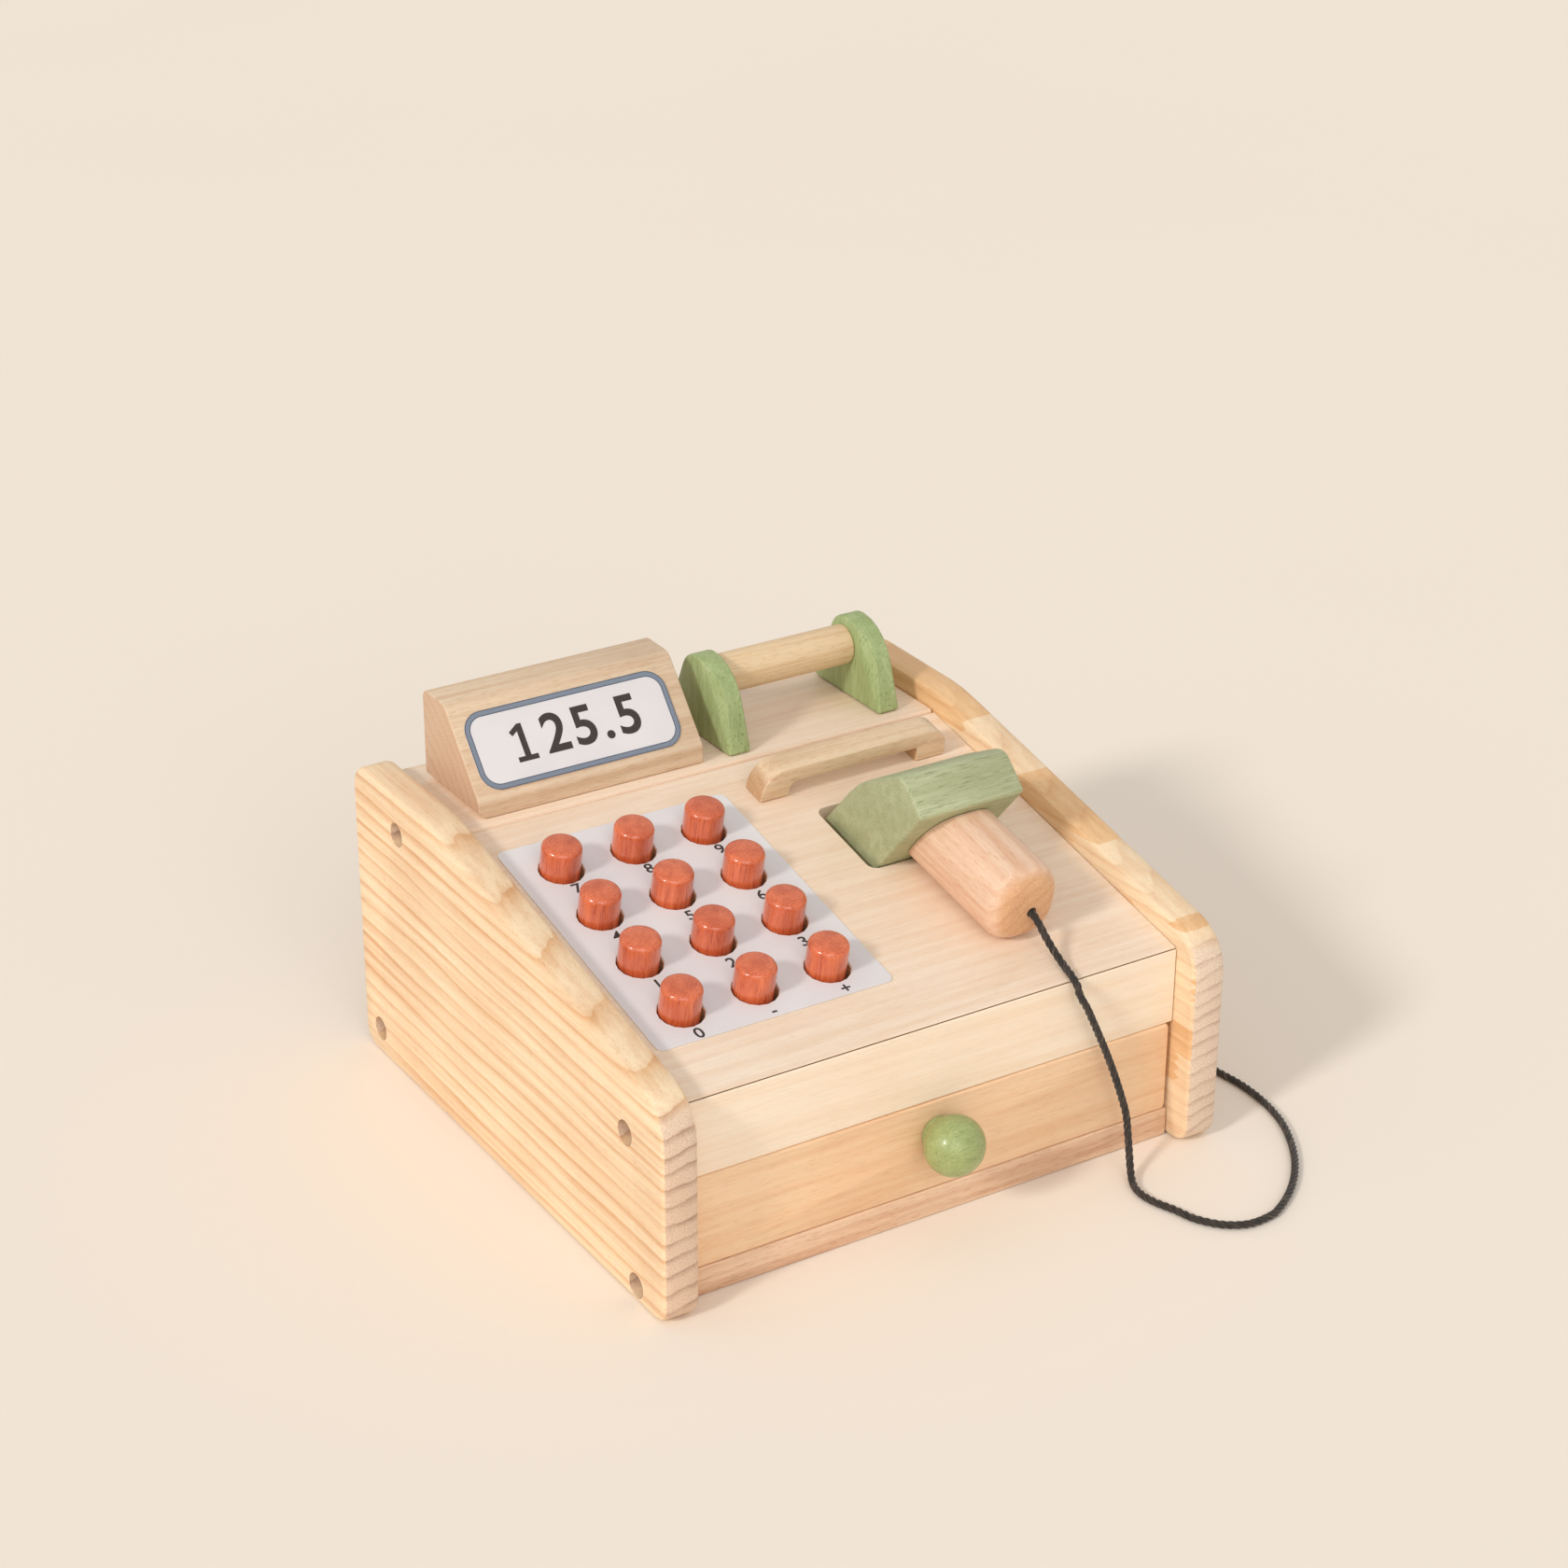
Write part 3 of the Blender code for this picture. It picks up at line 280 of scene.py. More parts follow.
def growth_rings(made, axis, place, heart, spacing, waver):
    """The late wood's strength, in wavy rings round a heart line along the grain."""
    slow = made.grain(axis, SLOW_WAVE, place, detail=2)
    slight = made.grain(axis, SLIGHT_WAVE, place, detail=2, shift=SLIGHT_SHIFT)
    radial = made.stretch(across(axis, 0.0, 1.0), shift=tuple(-h for h in heart), place=place)
    distance = made.node("ShaderNodeVectorMath", {0: radial}, operation="LENGTH").outputs["Value"]
    distance = made.maths("MULTIPLY_ADD", slow, waver, distance)
    distance = made.maths("MULTIPLY_ADD", slight, waver * SLIGHT_SHARE, distance)
    late = made.ramp(made.maths("FRACT", made.maths("DIVIDE", distance, spacing)), *RING_PROFILE)
    uneven = made.ramp(made.grain(axis, LATE_PATCHES, place), (0.32, 0.45), (0.66, 1.0))
    return made.maths("MULTIPLY", late, uneven)


def end_share(made, axis):
    """1 where a face cuts across the grain and 0 where it runs along it."""
    normal = made.node("ShaderNodeTexCoord").outputs["Normal"]
    facing = made.node("ShaderNodeVectorMath", {0: normal, 1: AXES[axis]}, operation="DOT_PRODUCT")
    return made.ramp(made.maths("ABSOLUTE", facing.outputs["Value"]), (0.60, 0.0), (0.88, 1.0))


def joined_blocks(made, sizes):
    """1 in some of the finger-jointed blocks of a laminated board and 0 in the others."""
    length, strip = sizes
    parts = made.node("ShaderNodeSeparateXYZ", {0: made.place}).outputs
    row = made.maths("FLOOR", made.maths("DIVIDE", parts["Z"], strip))
    shifted = made.maths("MULTIPLY_ADD", row, BLOCK_STAGGER, made.maths("DIVIDE", parts["Y"], length))
    wobble = made.maths("PINGPONG", made.maths("DIVIDE", parts["Z"], strip / FINGERS), 1.0)
    shifted = made.maths("MULTIPLY_ADD", wobble, FINGER_LENGTH, shifted)
    cell = made.node("ShaderNodeCombineXYZ", {0: made.maths("FLOOR", shifted), 1: row})
    white = made.node("ShaderNodeTexWhiteNoise", {"Vector": cell.outputs[0]}, noise_dimensions="2D")
    return made.ramp(white.outputs["Value"], (0.42, 0.0), (0.46, 1.0))


def wood(
    name,
    pale,
    ring,
    end_pale,
    end_ring,
    axis="X",
    heart=(0.0, 0.0, 0.0),
    spacing=0.005,
    waver=0.004,
    ring_share=0.6,
    fibre_share=0.25,
    pore_share=0.25,
    lean=0.0,
    roughness=0.52,
    blocks=None,
):
    """Solid wood: rings round a heart line along the grain, fibres, pores, and darker end grain."""
    made = Surface(name, Specular_IOR_Level=0.35)
    turned = made.stretch((1, 1, 1), turn=(-lean, 0, 0))
    late = growth_rings(made, axis, turned, heart, spacing, waver)
    fibre = made.grain(axis, FIBRES, turned, detail=4)
    streak = made.grain(axis, STREAKS, turned)
    pore = made.ramp(made.grain(axis, PORES, turned, detail=1), (0.60, 0.0), (0.70, 1.0))

    side = made.mix(made.maths("MULTIPLY", late, ring_share), pale, ring)
    if blocks:
        side = made.mix(joined_blocks(made, blocks["sizes"]), side, blocks["colour"], "MULTIPLY")
    side = made.mix(made.ramp(fibre, (0.30, fibre_share), (0.62, 0.0)), side, FIBRE_SHADE, "MULTIPLY")
    side = made.mix(made.ramp(streak, (0.36, fibre_share), (0.58, 0.0)), side, ring, "MULTIPLY")
    side = made.mix(made.maths("MULTIPLY", pore, pore_share), side, ring, "MULTIPLY")

    end_rings = made.maths("MULTIPLY", late, min(1.0, ring_share * END_RING_GAIN))
    end = made.mix(end_rings, end_pale, end_ring)
    end_specks = made.ramp(made.specks(1900, detail=2), (0.36, 0.35), (0.60, 0.0))
    end = made.mix(end_specks, end, end_ring, "MULTIPLY")

    colour = made.mix(end_share(made, axis), side, end)
    blotch = made.ramp(made.specks(16, detail=3), (0.35, 0.16), (0.65, 0.0))
    made.set("Base Color", made.mix(blotch, colour, ring, "MULTIPLY"))
    made.roughen(fibre, roughness - 0.11, 0.22)
    height = made.maths("MULTIPLY", fibre, WOOD_RELIEF["fibre"])
    height = made.maths("MULTIPLY_ADD", pore, -WOOD_RELIEF["pore"], height)
    height = made.maths("MULTIPLY_ADD", late, WOOD_RELIEF["late"], height)
    made.bump(height, WOOD_RELIEF["distance"], WOOD_RELIEF["strength"])
    return made.material


def stained(name, colour, dark, golden, axis, roughness, coat, pore_share, speck_share, lean=0.0):
    """Stained or lacquered wood: the stain is darker in the fibres, the pores and in patches."""
    made = Surface(name, Specular_IOR_Level=0.45, Coat_Weight=coat, Coat_Roughness=0.12)
    turned = made.stretch((1, 1, 1), turn=(-lean, 0, 0))
    fibre = made.grain(axis, STAINED_FIBRES, turned, detail=4)
    streak = made.grain(axis, STAINED_STREAKS, turned)
    pores = made.ramp(made.grain(axis, STAINED_PORES, turned, detail=2), (0.57, 0.0), (0.68, 1.0))
    shade = made.mix(made.ramp(streak, (0.36, 0.55), (0.62, 0.0)), colour, dark)
    shade = made.mix(made.ramp(fibre, (0.34, 0.45), (0.60, 0.0)), shade, dark)
    shade = made.mix(made.maths("MULTIPLY", pores, pore_share), shade, dark, "MULTIPLY")
    shade = made.mix(made.ramp(made.specks(1600, detail=2), (0.56, 0.0), (0.72, speck_share)), shade, golden)
    shade = made.mix(made.ramp(made.specks(60, detail=4), (0.34, 0.30), (0.60, 0.0)), shade, dark)
    made.set("Base Color", shade)
    made.roughen(fibre, roughness - 0.12, 0.25)
    height = made.maths("MULTIPLY_ADD", pores, -0.8, made.maths("MULTIPLY", fibre, 0.5))
    made.bump(height, 0.00010, 0.55)
    return made.material


def film(name, colour, shade):
    """Printed film with faint clouding and a fine tooth."""
    made = Surface(name, Specular_IOR_Level=0.5)
    cloud = made.specks(30, detail=3)
    tooth = made.specks(2600, detail=2)
    tint = made.mix(made.ramp(cloud, (0.35, 0.35), (0.65, 0.0)), colour, shade)
    made.set("Base Color", made.mix(made.ramp(tooth, (0.35, 0.10), (0.65, 0.0)), tint, shade))
    made.set("Roughness", made.ramp(cloud, (0.3, 0.34), (0.7, 0.46)))
    made.bump(tooth, 0.00002, 0.4)
    return made.material


def ink(name, colour, worn):
    """Printed ink, a little uneven at its finest."""
    made = Surface(name, Specular_IOR_Level=0.4)
    grain = made.specks(1800, detail=3)
    made.set("Base Color", made.mix(made.ramp(grain, (0.5, 0.0), (0.8, 0.5)), colour, worn))
    made.set("Roughness", made.ramp(grain, (0.3, 0.42), (0.7, 0.6)))
    made.bump(grain, 0.00001, 0.3)
    return made.material


def steel(name, colour, roughness):
    """Plain drawn or pressed steel with fine scratches."""
    made = Surface(name, Metallic=1.0)
    scratch = made.noise(made.stretch((300, 2400, 2400)), detail=4)
    dulled = made.ramp(scratch, (0.3, 0.4), (0.7, 0.0))
    made.set("Base Color", made.mix(dulled, colour, 0.25))
    made.roughen(scratch, roughness - 0.12, 0.25)
    made.bump(scratch, 0.00002, 0.4)
    return made.material


def braid(name, dark, light):
    """Waxed thread: fine filaments run along each strand, a few of them paler."""
    made = Surface(name, Specular_IOR_Level=0.4, Sheen_Weight=0.25)
    sheet = made.node("ShaderNodeUVMap", uv_map="strands").outputs[0]
    filament = made.noise(made.stretch((34, 160, 1), place=sheet), detail=3)
    patch = made.noise(made.stretch((3, 60, 1), place=sheet), detail=2)
    threads = made.ramp(filament, (0.48, 0.0), (0.66, 1.0))
    pale = made.maths("MULTIPLY", threads, made.ramp(patch, (0.4, 0.15), (0.6, 0.9)))
    made.set("Base Color", made.mix(pale, dark, light))
    made.set("Roughness", made.ramp(filament, (0.3, 0.85), (0.7, 0.6)))
    made.bump(filament, 0.00018, 0.8)
    return made.material


def plaster(name, colour, shade):
    """A matt, faintly clouded ground."""
    made = Surface(name, Specular_IOR_Level=0.2)
    cloud = made.specks(1.3, detail=3)
    made.set("Base Color", made.mix(made.ramp(cloud, (0.3, 0.25), (0.7, 0.0)), colour, shade))
    made.set("Roughness", made.ramp(cloud, (0.3, 0.75), (0.7, 0.85)))
    return made.material


LEFT_PINE = wood(
    "left_pine",
    srgb("FAE2BE"),
    srgb("DDA46A"),
    srgb("EDD3BA"),
    srgb("B8957E"),
    axis="Y",
    heart=(-0.104, 0.0, -0.055),
    spacing=0.0072,
    waver=0.012,
    ring_share=0.80,
)
RIGHT_PINE = wood(
    "right_pine",
    srgb("F8DFBC"),
    srgb("E3BB90"),
    srgb("EFDAC4"),
    srgb("BC9A84"),
    axis="Y",
    heart=(0.136, 0.0, -0.040),
    spacing=0.0056,
    waver=0.012,
    ring_share=0.55,
    blocks={"sizes": (0.062, 0.0130), "colour": srgb("F7E5CF")},
)
DECK_WOOD = wood(
    "deck_wood",
    srgb("F6E2CC"),
    srgb("EBCDAC"),
    srgb("E6CBA2"),
    srgb("CFA478"),
    heart=(0.0, 0.03, -0.16),
    spacing=0.0140,
    waver=0.030,
    ring_share=0.35,
    fibre_share=0.20,
    pore_share=0.18,
)
RAIL_WOOD = wood(
    "rail_wood",
    srgb("FBE9D2"),
    srgb("F0D5B2"),
    srgb("E6CBA2"),
    srgb("CFA478"),
    heart=(0.0, 0.12, -0.20),
    spacing=0.0170,
    waver=0.022,
    ring_share=0.30,
    fibre_share=0.16,
    pore_share=0.12,
)
DRAWER_WOOD = wood(
    "drawer_wood",
    srgb("F8D6B0"),
    srgb("E4B284"),
    srgb("E2B98A"),
    srgb("C28A5C"),
    heart=(0.0, 0.10, 0.22),
    spacing=0.0120,
    waver=0.034,
    ring_share=0.28,
    fibre_share=0.18,
    pore_share=0.22,
)
BASE_WOOD = wood(
    "base_wood",
    srgb("F3D3B4"),
    srgb("CD9A72"),
    srgb("DFB48C"),
    srgb("B88462"),
    heart=(0.0, 0.10, 0.12),
    spacing=0.0060,
    waver=0.018,
    ring_share=0.45,
    fibre_share=0.30,
    pore_share=0.40,
)
DISPLAY_WOOD = wood(
    "display_wood",
    srgb("E5CDB0"),
    srgb("D2AA80"),
    srgb("DCBC9E"),
    srgb("B48C70"),
    heart=(0.0, 0.20, 0.02),
    spacing=0.0052,
    waver=0.012,
    ring_share=0.30,
    fibre_share=0.28,
    pore_share=0.35,
)
READER_WOOD = wood(
    "reader_wood",
    srgb("ECD3B2"),
    srgb("D8B692"),
    srgb("D4B088"),
    srgb("B08560"),
    heart=(0.0, 0.02, 0.30),
    spacing=0.0040,
    waver=0.010,
    ring_share=0.30,
    fibre_share=0.30,
    pore_share=0.50,
    lean=SLOPE,
)
DOWEL_WOOD = wood(
    "dowel_wood",
    srgb("ECD2AC"),
    srgb("D3AA78"),
    srgb("D8B184"),
    srgb("B58A60"),
    heart=(0.0, 0.085, 0.150),
    spacing=0.0034,
    waver=0.006,
    ring_share=0.35,
    fibre_share=0.25,
    pore_share=0.35,
)
HANDLE_WOOD = wood(
    "handle_wood",
    srgb("F1D0B4"),
    srgb("DCA880"),
    srgb("E8BC92"),
    srgb("C98F66"),
    axis="Y",
    heart=(0.078, 0.0, 0.090),
    spacing=0.0046,
    waver=0.012,
    ring_share=0.35,
    fibre_share=0.25,
    pore_share=0.40,
    lean=SLOPE,
)
HEAD_GREEN = stained(
    "head_green", srgb("B9BE98"), srgb("9AA074"), srgb("D2CC9C"), "X", 0.50, 0.0, 0.55, 0.35, lean=SLOPE
)
BRACKET_GREEN = stained(
    "bracket_green", srgb("B0BE88"), srgb("8FA066"), srgb("CCCC94"), "Z", 0.50, 0.0, 0.60, 0.22
)
KNOB_GREEN = stained(
    "knob_green", srgb("A8B478"), srgb("8A985A"), srgb("D6C888"), "X", 0.36, 0.25, 0.40, 0.40
)
KEY_RED = stained(
    "key_red", srgb("E9794C"), srgb("B5461F"), srgb("F5A27A"), "Z", 0.30, 0.70, 0.55, 0.30, lean=SLOPE
)
LABEL_FILM = film("label_white", srgb("E6E2E2"), srgb("D3CFD3"))
FRAME_INK = ink("frame_grey", srgb("7C8696"), srgb("98A0AE"))
FRAME_LINE = ink("frame_line", srgb("565E6C"), srgb("70788A"))
DIGIT_INK = ink("digit_ink", srgb("3A322F"), srgb("5A504A"))
SCREW_STEEL = steel("screw_steel", srgb("9C968C"), 0.42)
SPRING_STEEL = steel("spring_steel", srgb("C4C6CA"), 0.30)
BRAID = braid("cord_thread", srgb("221A15"), srgb("6A5B4C"))


# Makers


SHARP = math.radians(35)
WORN = math.radians(32)
SAME_PLANE = math.radians(0.4)
SAME_PLACE = 0.000002


def into_scene(name, mesh, material, smooth=SHARP):
    mesh.materials.clear()
    mesh.materials.append(material)
    mesh.shade_smooth()
    mesh.set_sharp_from_angle(angle=smooth)
    made = bpy.data.objects.new(name, mesh)
    bpy.context.scene.collection.objects.link(made)
    return made


def stand_for(made, *nodes):
    """Lets a piece stand for CAD nodes, on their body."""
    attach(made, BODY_OF[nodes[0]])
    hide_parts(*nodes)
    return made


def mesh_from(form, name):
    mesh = bpy.data.meshes.new(name)
    form.to_mesh(mesh)
    form.free()
    return mesh


def softened(made, width, segments=3):
    """Rounds a piece's sharp edges and evens its shading."""
    bevel = made.modifiers.new("edges", "BEVEL")
    bevel.width = width
    bevel.segments = segments
    bevel.limit_method = "ANGLE"
    bevel.angle_limit = WORN
    bevel.miter_outer = "MITER_ARC"
    bevel.harden_normals = True


def refined(node, material, width):
    """A copy of a CAD node with clean faces and worn, rounded edges."""
    form = bmesh.new()
    form.from_mesh(NODES[node].data)
    bmesh.ops.remove_doubles(form, verts=form.verts, dist=SAME_PLACE)
    bmesh.ops.dissolve_limit(form, angle_limit=SAME_PLANE, verts=form.verts, edges=form.edges)
    bmesh.ops.recalc_face_normals(form, faces=form.faces)
    made = into_scene(f"{node}_finished", mesh_from(form, node), material)
    if width:
        softened(made, width)
    return stand_for(made, node)


def lathe(name, profile, matrix, steps=56):
    """A turned mesh: (radius, height) from the top of its axis down."""
    form = bmesh.new()
    rings = []
    for radius, height in profile:
        if radius == 0:
            rings.append([form.verts.new(matrix @ Vector((0, 0, height)))])
            continue
        ring = []
        for step in range(steps):
            angle = 2 * math.pi * step / steps
            place = Vector((radius * math.cos(angle), radius * math.sin(angle), height))
            ring.append(form.verts.new(matrix @ place))
        rings.append(ring)
    for upper, lower in zip(rings, rings[1:]):
        for step in range(steps):
            following = (step + 1) % steps
            corners = [upper[step % len(upper)], lower[step % len(lower)]]
            corners += [lower[following % len(lower)], upper[following % len(upper)]]
            form.faces.new(list(dict.fromkeys(corners)))
    bmesh.ops.recalc_face_normals(form, faces=form.faces)
    return mesh_from(form, name)


def arc(radius, centre_radius, centre_height, start, stop, steps=6):
    """Points of a lathe profile round a quarter or part of a circle, angles from the axis's top."""
    points = []
    for step in range(steps + 1):
        angle = math.radians(start + (stop - start) * step / steps)
        height = centre_height + radius * math.cos(angle)
        points.append((centre_radius + radius * math.sin(angle), height))
    return points


def rounded_rectangle(half_a, half_b, radius, steps=12):
    points = []
    for turn, (a, b) in enumerate(((1, 1), (-1, 1), (-1, -1), (1, -1))):
        for step in range(steps + 1):
            angle = math.pi / 2 * (turn + step / steps)
            x = a * (half_a - radius) + radius * math.cos(angle)
            y = b * (half_b - radius) + radius * math.sin(angle)
            points.append(Vector((x, y)))
    return points


def ring_plate(name, outer, inner, matrix, low, high):
    """A flat closed ring between two outlines with as many points."""
    form = bmesh.new()
    loops = []
    for outline, height in ((outer, high), (inner, high), (inner, low), (outer, low)):
        loops.append([form.verts.new(matrix @ Vector((p.x, p.y, height))) for p in outline])
    count = len(outer)
    for loop, after in zip(loops, loops[1:] + loops[:1]):
        for index in range(count):
            following = (index + 1) % count
            form.faces.new((loop[index], after[index], after[following], loop[following]))
    bmesh.ops.recalc_face_normals(form, faces=form.faces)
    return mesh_from(form, name)


def plate(name, outline, matrix, low):
    """A thin flat print in the shape of outline."""
    form = bmesh.new()
    face = form.faces.new([form.verts.new(matrix @ Vector((p.x, p.y, low))) for p in outline])
    raised = bmesh.ops.extrude_face_region(form, geom=[face])["geom"]
    lift = matrix.to_3x3() @ Vector((0, 0, PRINT_THICKNESS))
    bmesh.ops.translate(form, vec=lift, verts=[v for v in raised if isinstance(v, bmesh.types.BMVert)])
    bmesh.ops.recalc_face_normals(form, faces=form.faces)
    return mesh_from(form, name)


def lettering(name, placed, size, thickness, weight, spacing=1.0):
    """Text as one mesh: placed is (text, matrix of its middle). weight thickens its strokes."""
    form = bmesh.new()
    for text, matrix in placed:
        curve = bpy.data.curves.new(name, "FONT")
        curve.body = text
        curve.size = size
        curve.extrude = thickness / 2
        curve.offset = weight
        curve.space_character = spacing
        curve.align_x = "CENTER"
        curve.align_y = "CENTER"
        curve.resolution_u = 6
        writer = bpy.data.objects.new(name, curve)
        bpy.context.scene.collection.objects.link(writer)
        bpy.context.view_layer.update()
        graph = bpy.context.evaluated_depsgraph_get()
        mesh = bpy.data.meshes.new_from_object(writer.evaluated_get(graph))
        mesh.transform(matrix)
        form.from_mesh(mesh)
        bpy.data.meshes.remove(mesh)
        bpy.data.objects.remove(writer)
        bpy.data.curves.remove(curve)
    bmesh.ops.remove_doubles(form, verts=form.verts, dist=0.0000005)
    return mesh_from(form, name)


# Boards


BOARDS = (  # node, material, and how wide its edges are worn
    ("left_side_panel", LEFT_PINE, 0.0005),
    ("right_side_panel", RIGHT_PINE, 0.0005),
    ("base_board", BASE_WOOD, 0.0004),
    ("back_panel", DECK_WOOD, 0.0004),
    ("rear_deck", DECK_WOOD, 0.0004),
    ("slope_deck", DECK_WOOD, 0.0004),
    ("front_rail", RAIL_WOOD, 0.0004),
    ("spring_board", DECK_WOOD, 0.0006),
    ("display_block", DISPLAY_WOOD, 0.0005),
    ("card_reader", READER_WOOD, 0.0004),
    ("bracket_left", BRACKET_GREEN, 0.0004),
    ("bracket_right", BRACKET_GREEN, 0.0004),
    ("scanner_head", HEAD_GREEN, 0.0004),
    ("drawer_front", DRAWER_WOOD, 0.0004),
    ("drawer_left", RAIL_WOOD, 0.0004),
    ("drawer_right", RAIL_WOOD, 0.0004),
    ("drawer_back", RAIL_WOOD, 0.0004),
    ("drawer_bottom", RAIL_WOOD, 0.0004),
    ("keypad_label", LABEL_FILM, 0),
    ("display_label", LABEL_FILM, 0),
)
SCREW_WEAR = 0.00015


def make_boards():
    for node, material, width in BOARDS:
        refined(node, material, width)
    for side in ("left", "right"):
        for board in ("base", "rail", "deck", "back"):
            refined(f"{side}_{board}_screw", SCREW_STEEL, SCREW_WEAR)
    refined("knob_screw", SCREW_STEEL, SCREW_WEAR)


# Turned pieces

KEY_RADIUS = 0.0080
KEY_TOP = 0.0126
KEY_EDGE = 0.0024
KEY_DOME = 0.00035
KEY_FLANGE = (0.01075, -0.0103, -0.0133)  # radius, top and bottom
KEY_BOSS = (0.0043, -0.0160)  # radius and bottom


def slope_matrix(place):
    return axes(place, ALONG_X, UP_SLOPE, OFF_SLOPE)


def key_foot(node):
    """Where a key's axis crosses the deck's plane."""
    place = middle(node)
    return place - OFF_SLOPE * ((place - on_slope(0, 0, 0)).dot(OFF_SLOPE))


def key_profile():
    shoulder = KEY_RADIUS - KEY_EDGE
    profile = [(0.0, KEY_TOP), (shoulder * 0.5, KEY_TOP - KEY_DOME * 0.25)]
    profile += arc(KEY_EDGE, shoulder, KEY_TOP - KEY_DOME - KEY_EDGE, 8, 90, 7)
    flange, top, bottom = KEY_FLANGE
    boss, foot = KEY_BOSS
    profile += [(KEY_RADIUS, top), (flange, top), (flange, bottom)]
    profile += [(boss, bottom), (boss, foot), (0.0, foot)]
    return profile


def make_keys():
    profile = key_profile()
    for node in sorted(NODES):
        if node.startswith("button_") and not node.endswith("_spring"):
            mesh = lathe(node, profile, slope_matrix(key_foot(node)), 64)
            stand_for(into_scene(f"{node}_turned", mesh, KEY_RED), node)
            make_spring(node)


SPRING_RADIUS = 0.0055
SPRING_WIRE = 0.0005
SPRING_SPAN = (-0.0235, -0.0141)
SPRING_TURNS = 3
SPRING_STEPS = 28  # to a turn


def make_spring(node):
    """A coil under one key."""
    matrix = slope_matrix(key_foot(node))
    low, high = SPRING_SPAN
    count = SPRING_TURNS * SPRING_STEPS
    points = []
    for step in range(count + 1):
        angle = 2 * math.pi * SPRING_TURNS * step / count
        height = low + (high - low) * step / count
        point = Vector((SPRING_RADIUS * math.cos(angle), SPRING_RADIUS * math.sin(angle), height))
        points.append(matrix @ point)
    spring = into_scene(f"{node}_coil", tube(node, points, SPRING_WIRE, 10), SPRING_STEEL)
    spring_node = f"{node}_spring"
    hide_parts(spring_node)
    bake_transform(spring)


KNOB_HALF_DEPTH = 0.0112
KNOB_NECK = 0.0070
KNOB_STEPS = 30


def make_knob():
    low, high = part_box("drawer_knob")
    place = Vector(((low.x + high.x) / 2, high.y, (low.z + high.z) / 2))
    radius = (high.x - low.x) / 2
    depth = high.y - low.y
    centre = depth - KNOB_HALF_DEPTH
    last = math.pi - math.asin(KNOB_NECK / radius)
    profile = [(0.0, depth)]
    for step in range(1, KNOB_STEPS + 1):
        angle = last * step / KNOB_STEPS
        profile.append((radius * math.sin(angle), centre + KNOB_HALF_DEPTH * math.cos(angle)))
    profile += [(KNOB_NECK, 0.0), (0.0, 0.0)]
    matrix = axes(place, ALONG_X, ALONG_Z, -ALONG_Y)
    knob = into_scene("drawer_knob_turned", lathe("knob", profile, matrix, 72), KNOB_GREEN)
    stand_for(knob, "drawer_knob")


DOWEL_PIN = (0.0040, 0.0055)  # radius and length
DOWEL_EASE = 0.0009


def make_dowel():
    low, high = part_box("roll_dowel")
    radius = (high.z - low.z) / 2
    half = (high.x - low.x) / 2
    pin, pin_length = DOWEL_PIN
    end = half - pin_length
    side = [(0.0, half), (pin, half), (pin, end), (radius - DOWEL_EASE, end)]
    side += arc(DOWEL_EASE, radius - DOWEL_EASE, end - DOWEL_EASE, 0, 90, 4)[1:]
    profile = side + [(r, -h) for r, h in reversed(side)]
    matrix = axes(middle("roll_dowel"), ALONG_Y, ALONG_Z, ALONG_X)
    dowel = into_scene("roll_dowel_turned", lathe("dowel", profile, matrix, 64), DOWEL_WOOD)
    stand_for(dowel, "roll_dowel")


# Scanner handle

HANDLE_END = (0.1808, 0.0333, 0.0164)  # X, U and H of the middle of its free end
HANDLE_HALVES = (0.0154, 0.0160)
HANDLE_ROUNDING = 0.0075
HANDLE_LENGTH = 0.0640
HANDLE_RISE = math.radians(0.5)
HANDLE_TURN = math.radians(1.6)
HANDLE_SQUARENESS = 2.6
HANDLE_SIDES = 72
END_STEPS = 10
CORD_HOLE = (0.0022, 0.0080, 0.0017, -0.0018)  # radius, depth, and place in the handle's end
SCANNER_FACE = ((0.0745, 0.0379), (-0.493, 0.870))  # U and H of its top, and its direction


def handle_sections():
    """(depth, inset) of each section from the rounded end to the head."""
    sections = []
    for step in range(END_STEPS + 1):
        angle = math.pi / 2 * step / END_STEPS
        depth, inset = (HANDLE_ROUNDING * (1 - part) for part in (math.cos(angle), math.sin(angle)))
        sections.append((depth, inset))
    return sections + [(HANDLE_LENGTH * share, 0.0) for share in (0.15, 0.3, 0.5, 0.7, 0.85, 1.0)]


def superellipse(half_a, half_b, squareness, count):
    """Points round an oval with fuller corners than an ellipse's."""
    points = []
    for step in range(count):
        angle = 2 * math.pi * step / count
        ways = (math.cos(angle), math.sin(angle))
        a, b = (math.copysign(abs(way) ** (2 / squareness), way) for way in ways)
        points.append((a * half_a, b * half_b))
    return points


def cut_at_head(form):
    """Cuts a swept form off at the head's front face, with a closed end."""
    (ridge_u, ridge_h), (lean_u, lean_h) = SCANNER_FACE
    into_head = (UP_SLOPE * lean_u + OFF_SLOPE * lean_h).normalized().cross(ALONG_X)
    face = on_slope(0, ridge_u, ridge_h) - into_head * CORD_GAP
    parts = [*form.verts, *form.edges, *form.faces]
    cut = bmesh.ops.bisect_plane(form, geom=parts, plane_co=face, plane_no=into_head, clear_outer=True)
    rim = [edge for edge in cut["geom_cut"] if isinstance(edge, bmesh.types.BMEdge)]
    bmesh.ops.contextual_create(form, geom=rim)


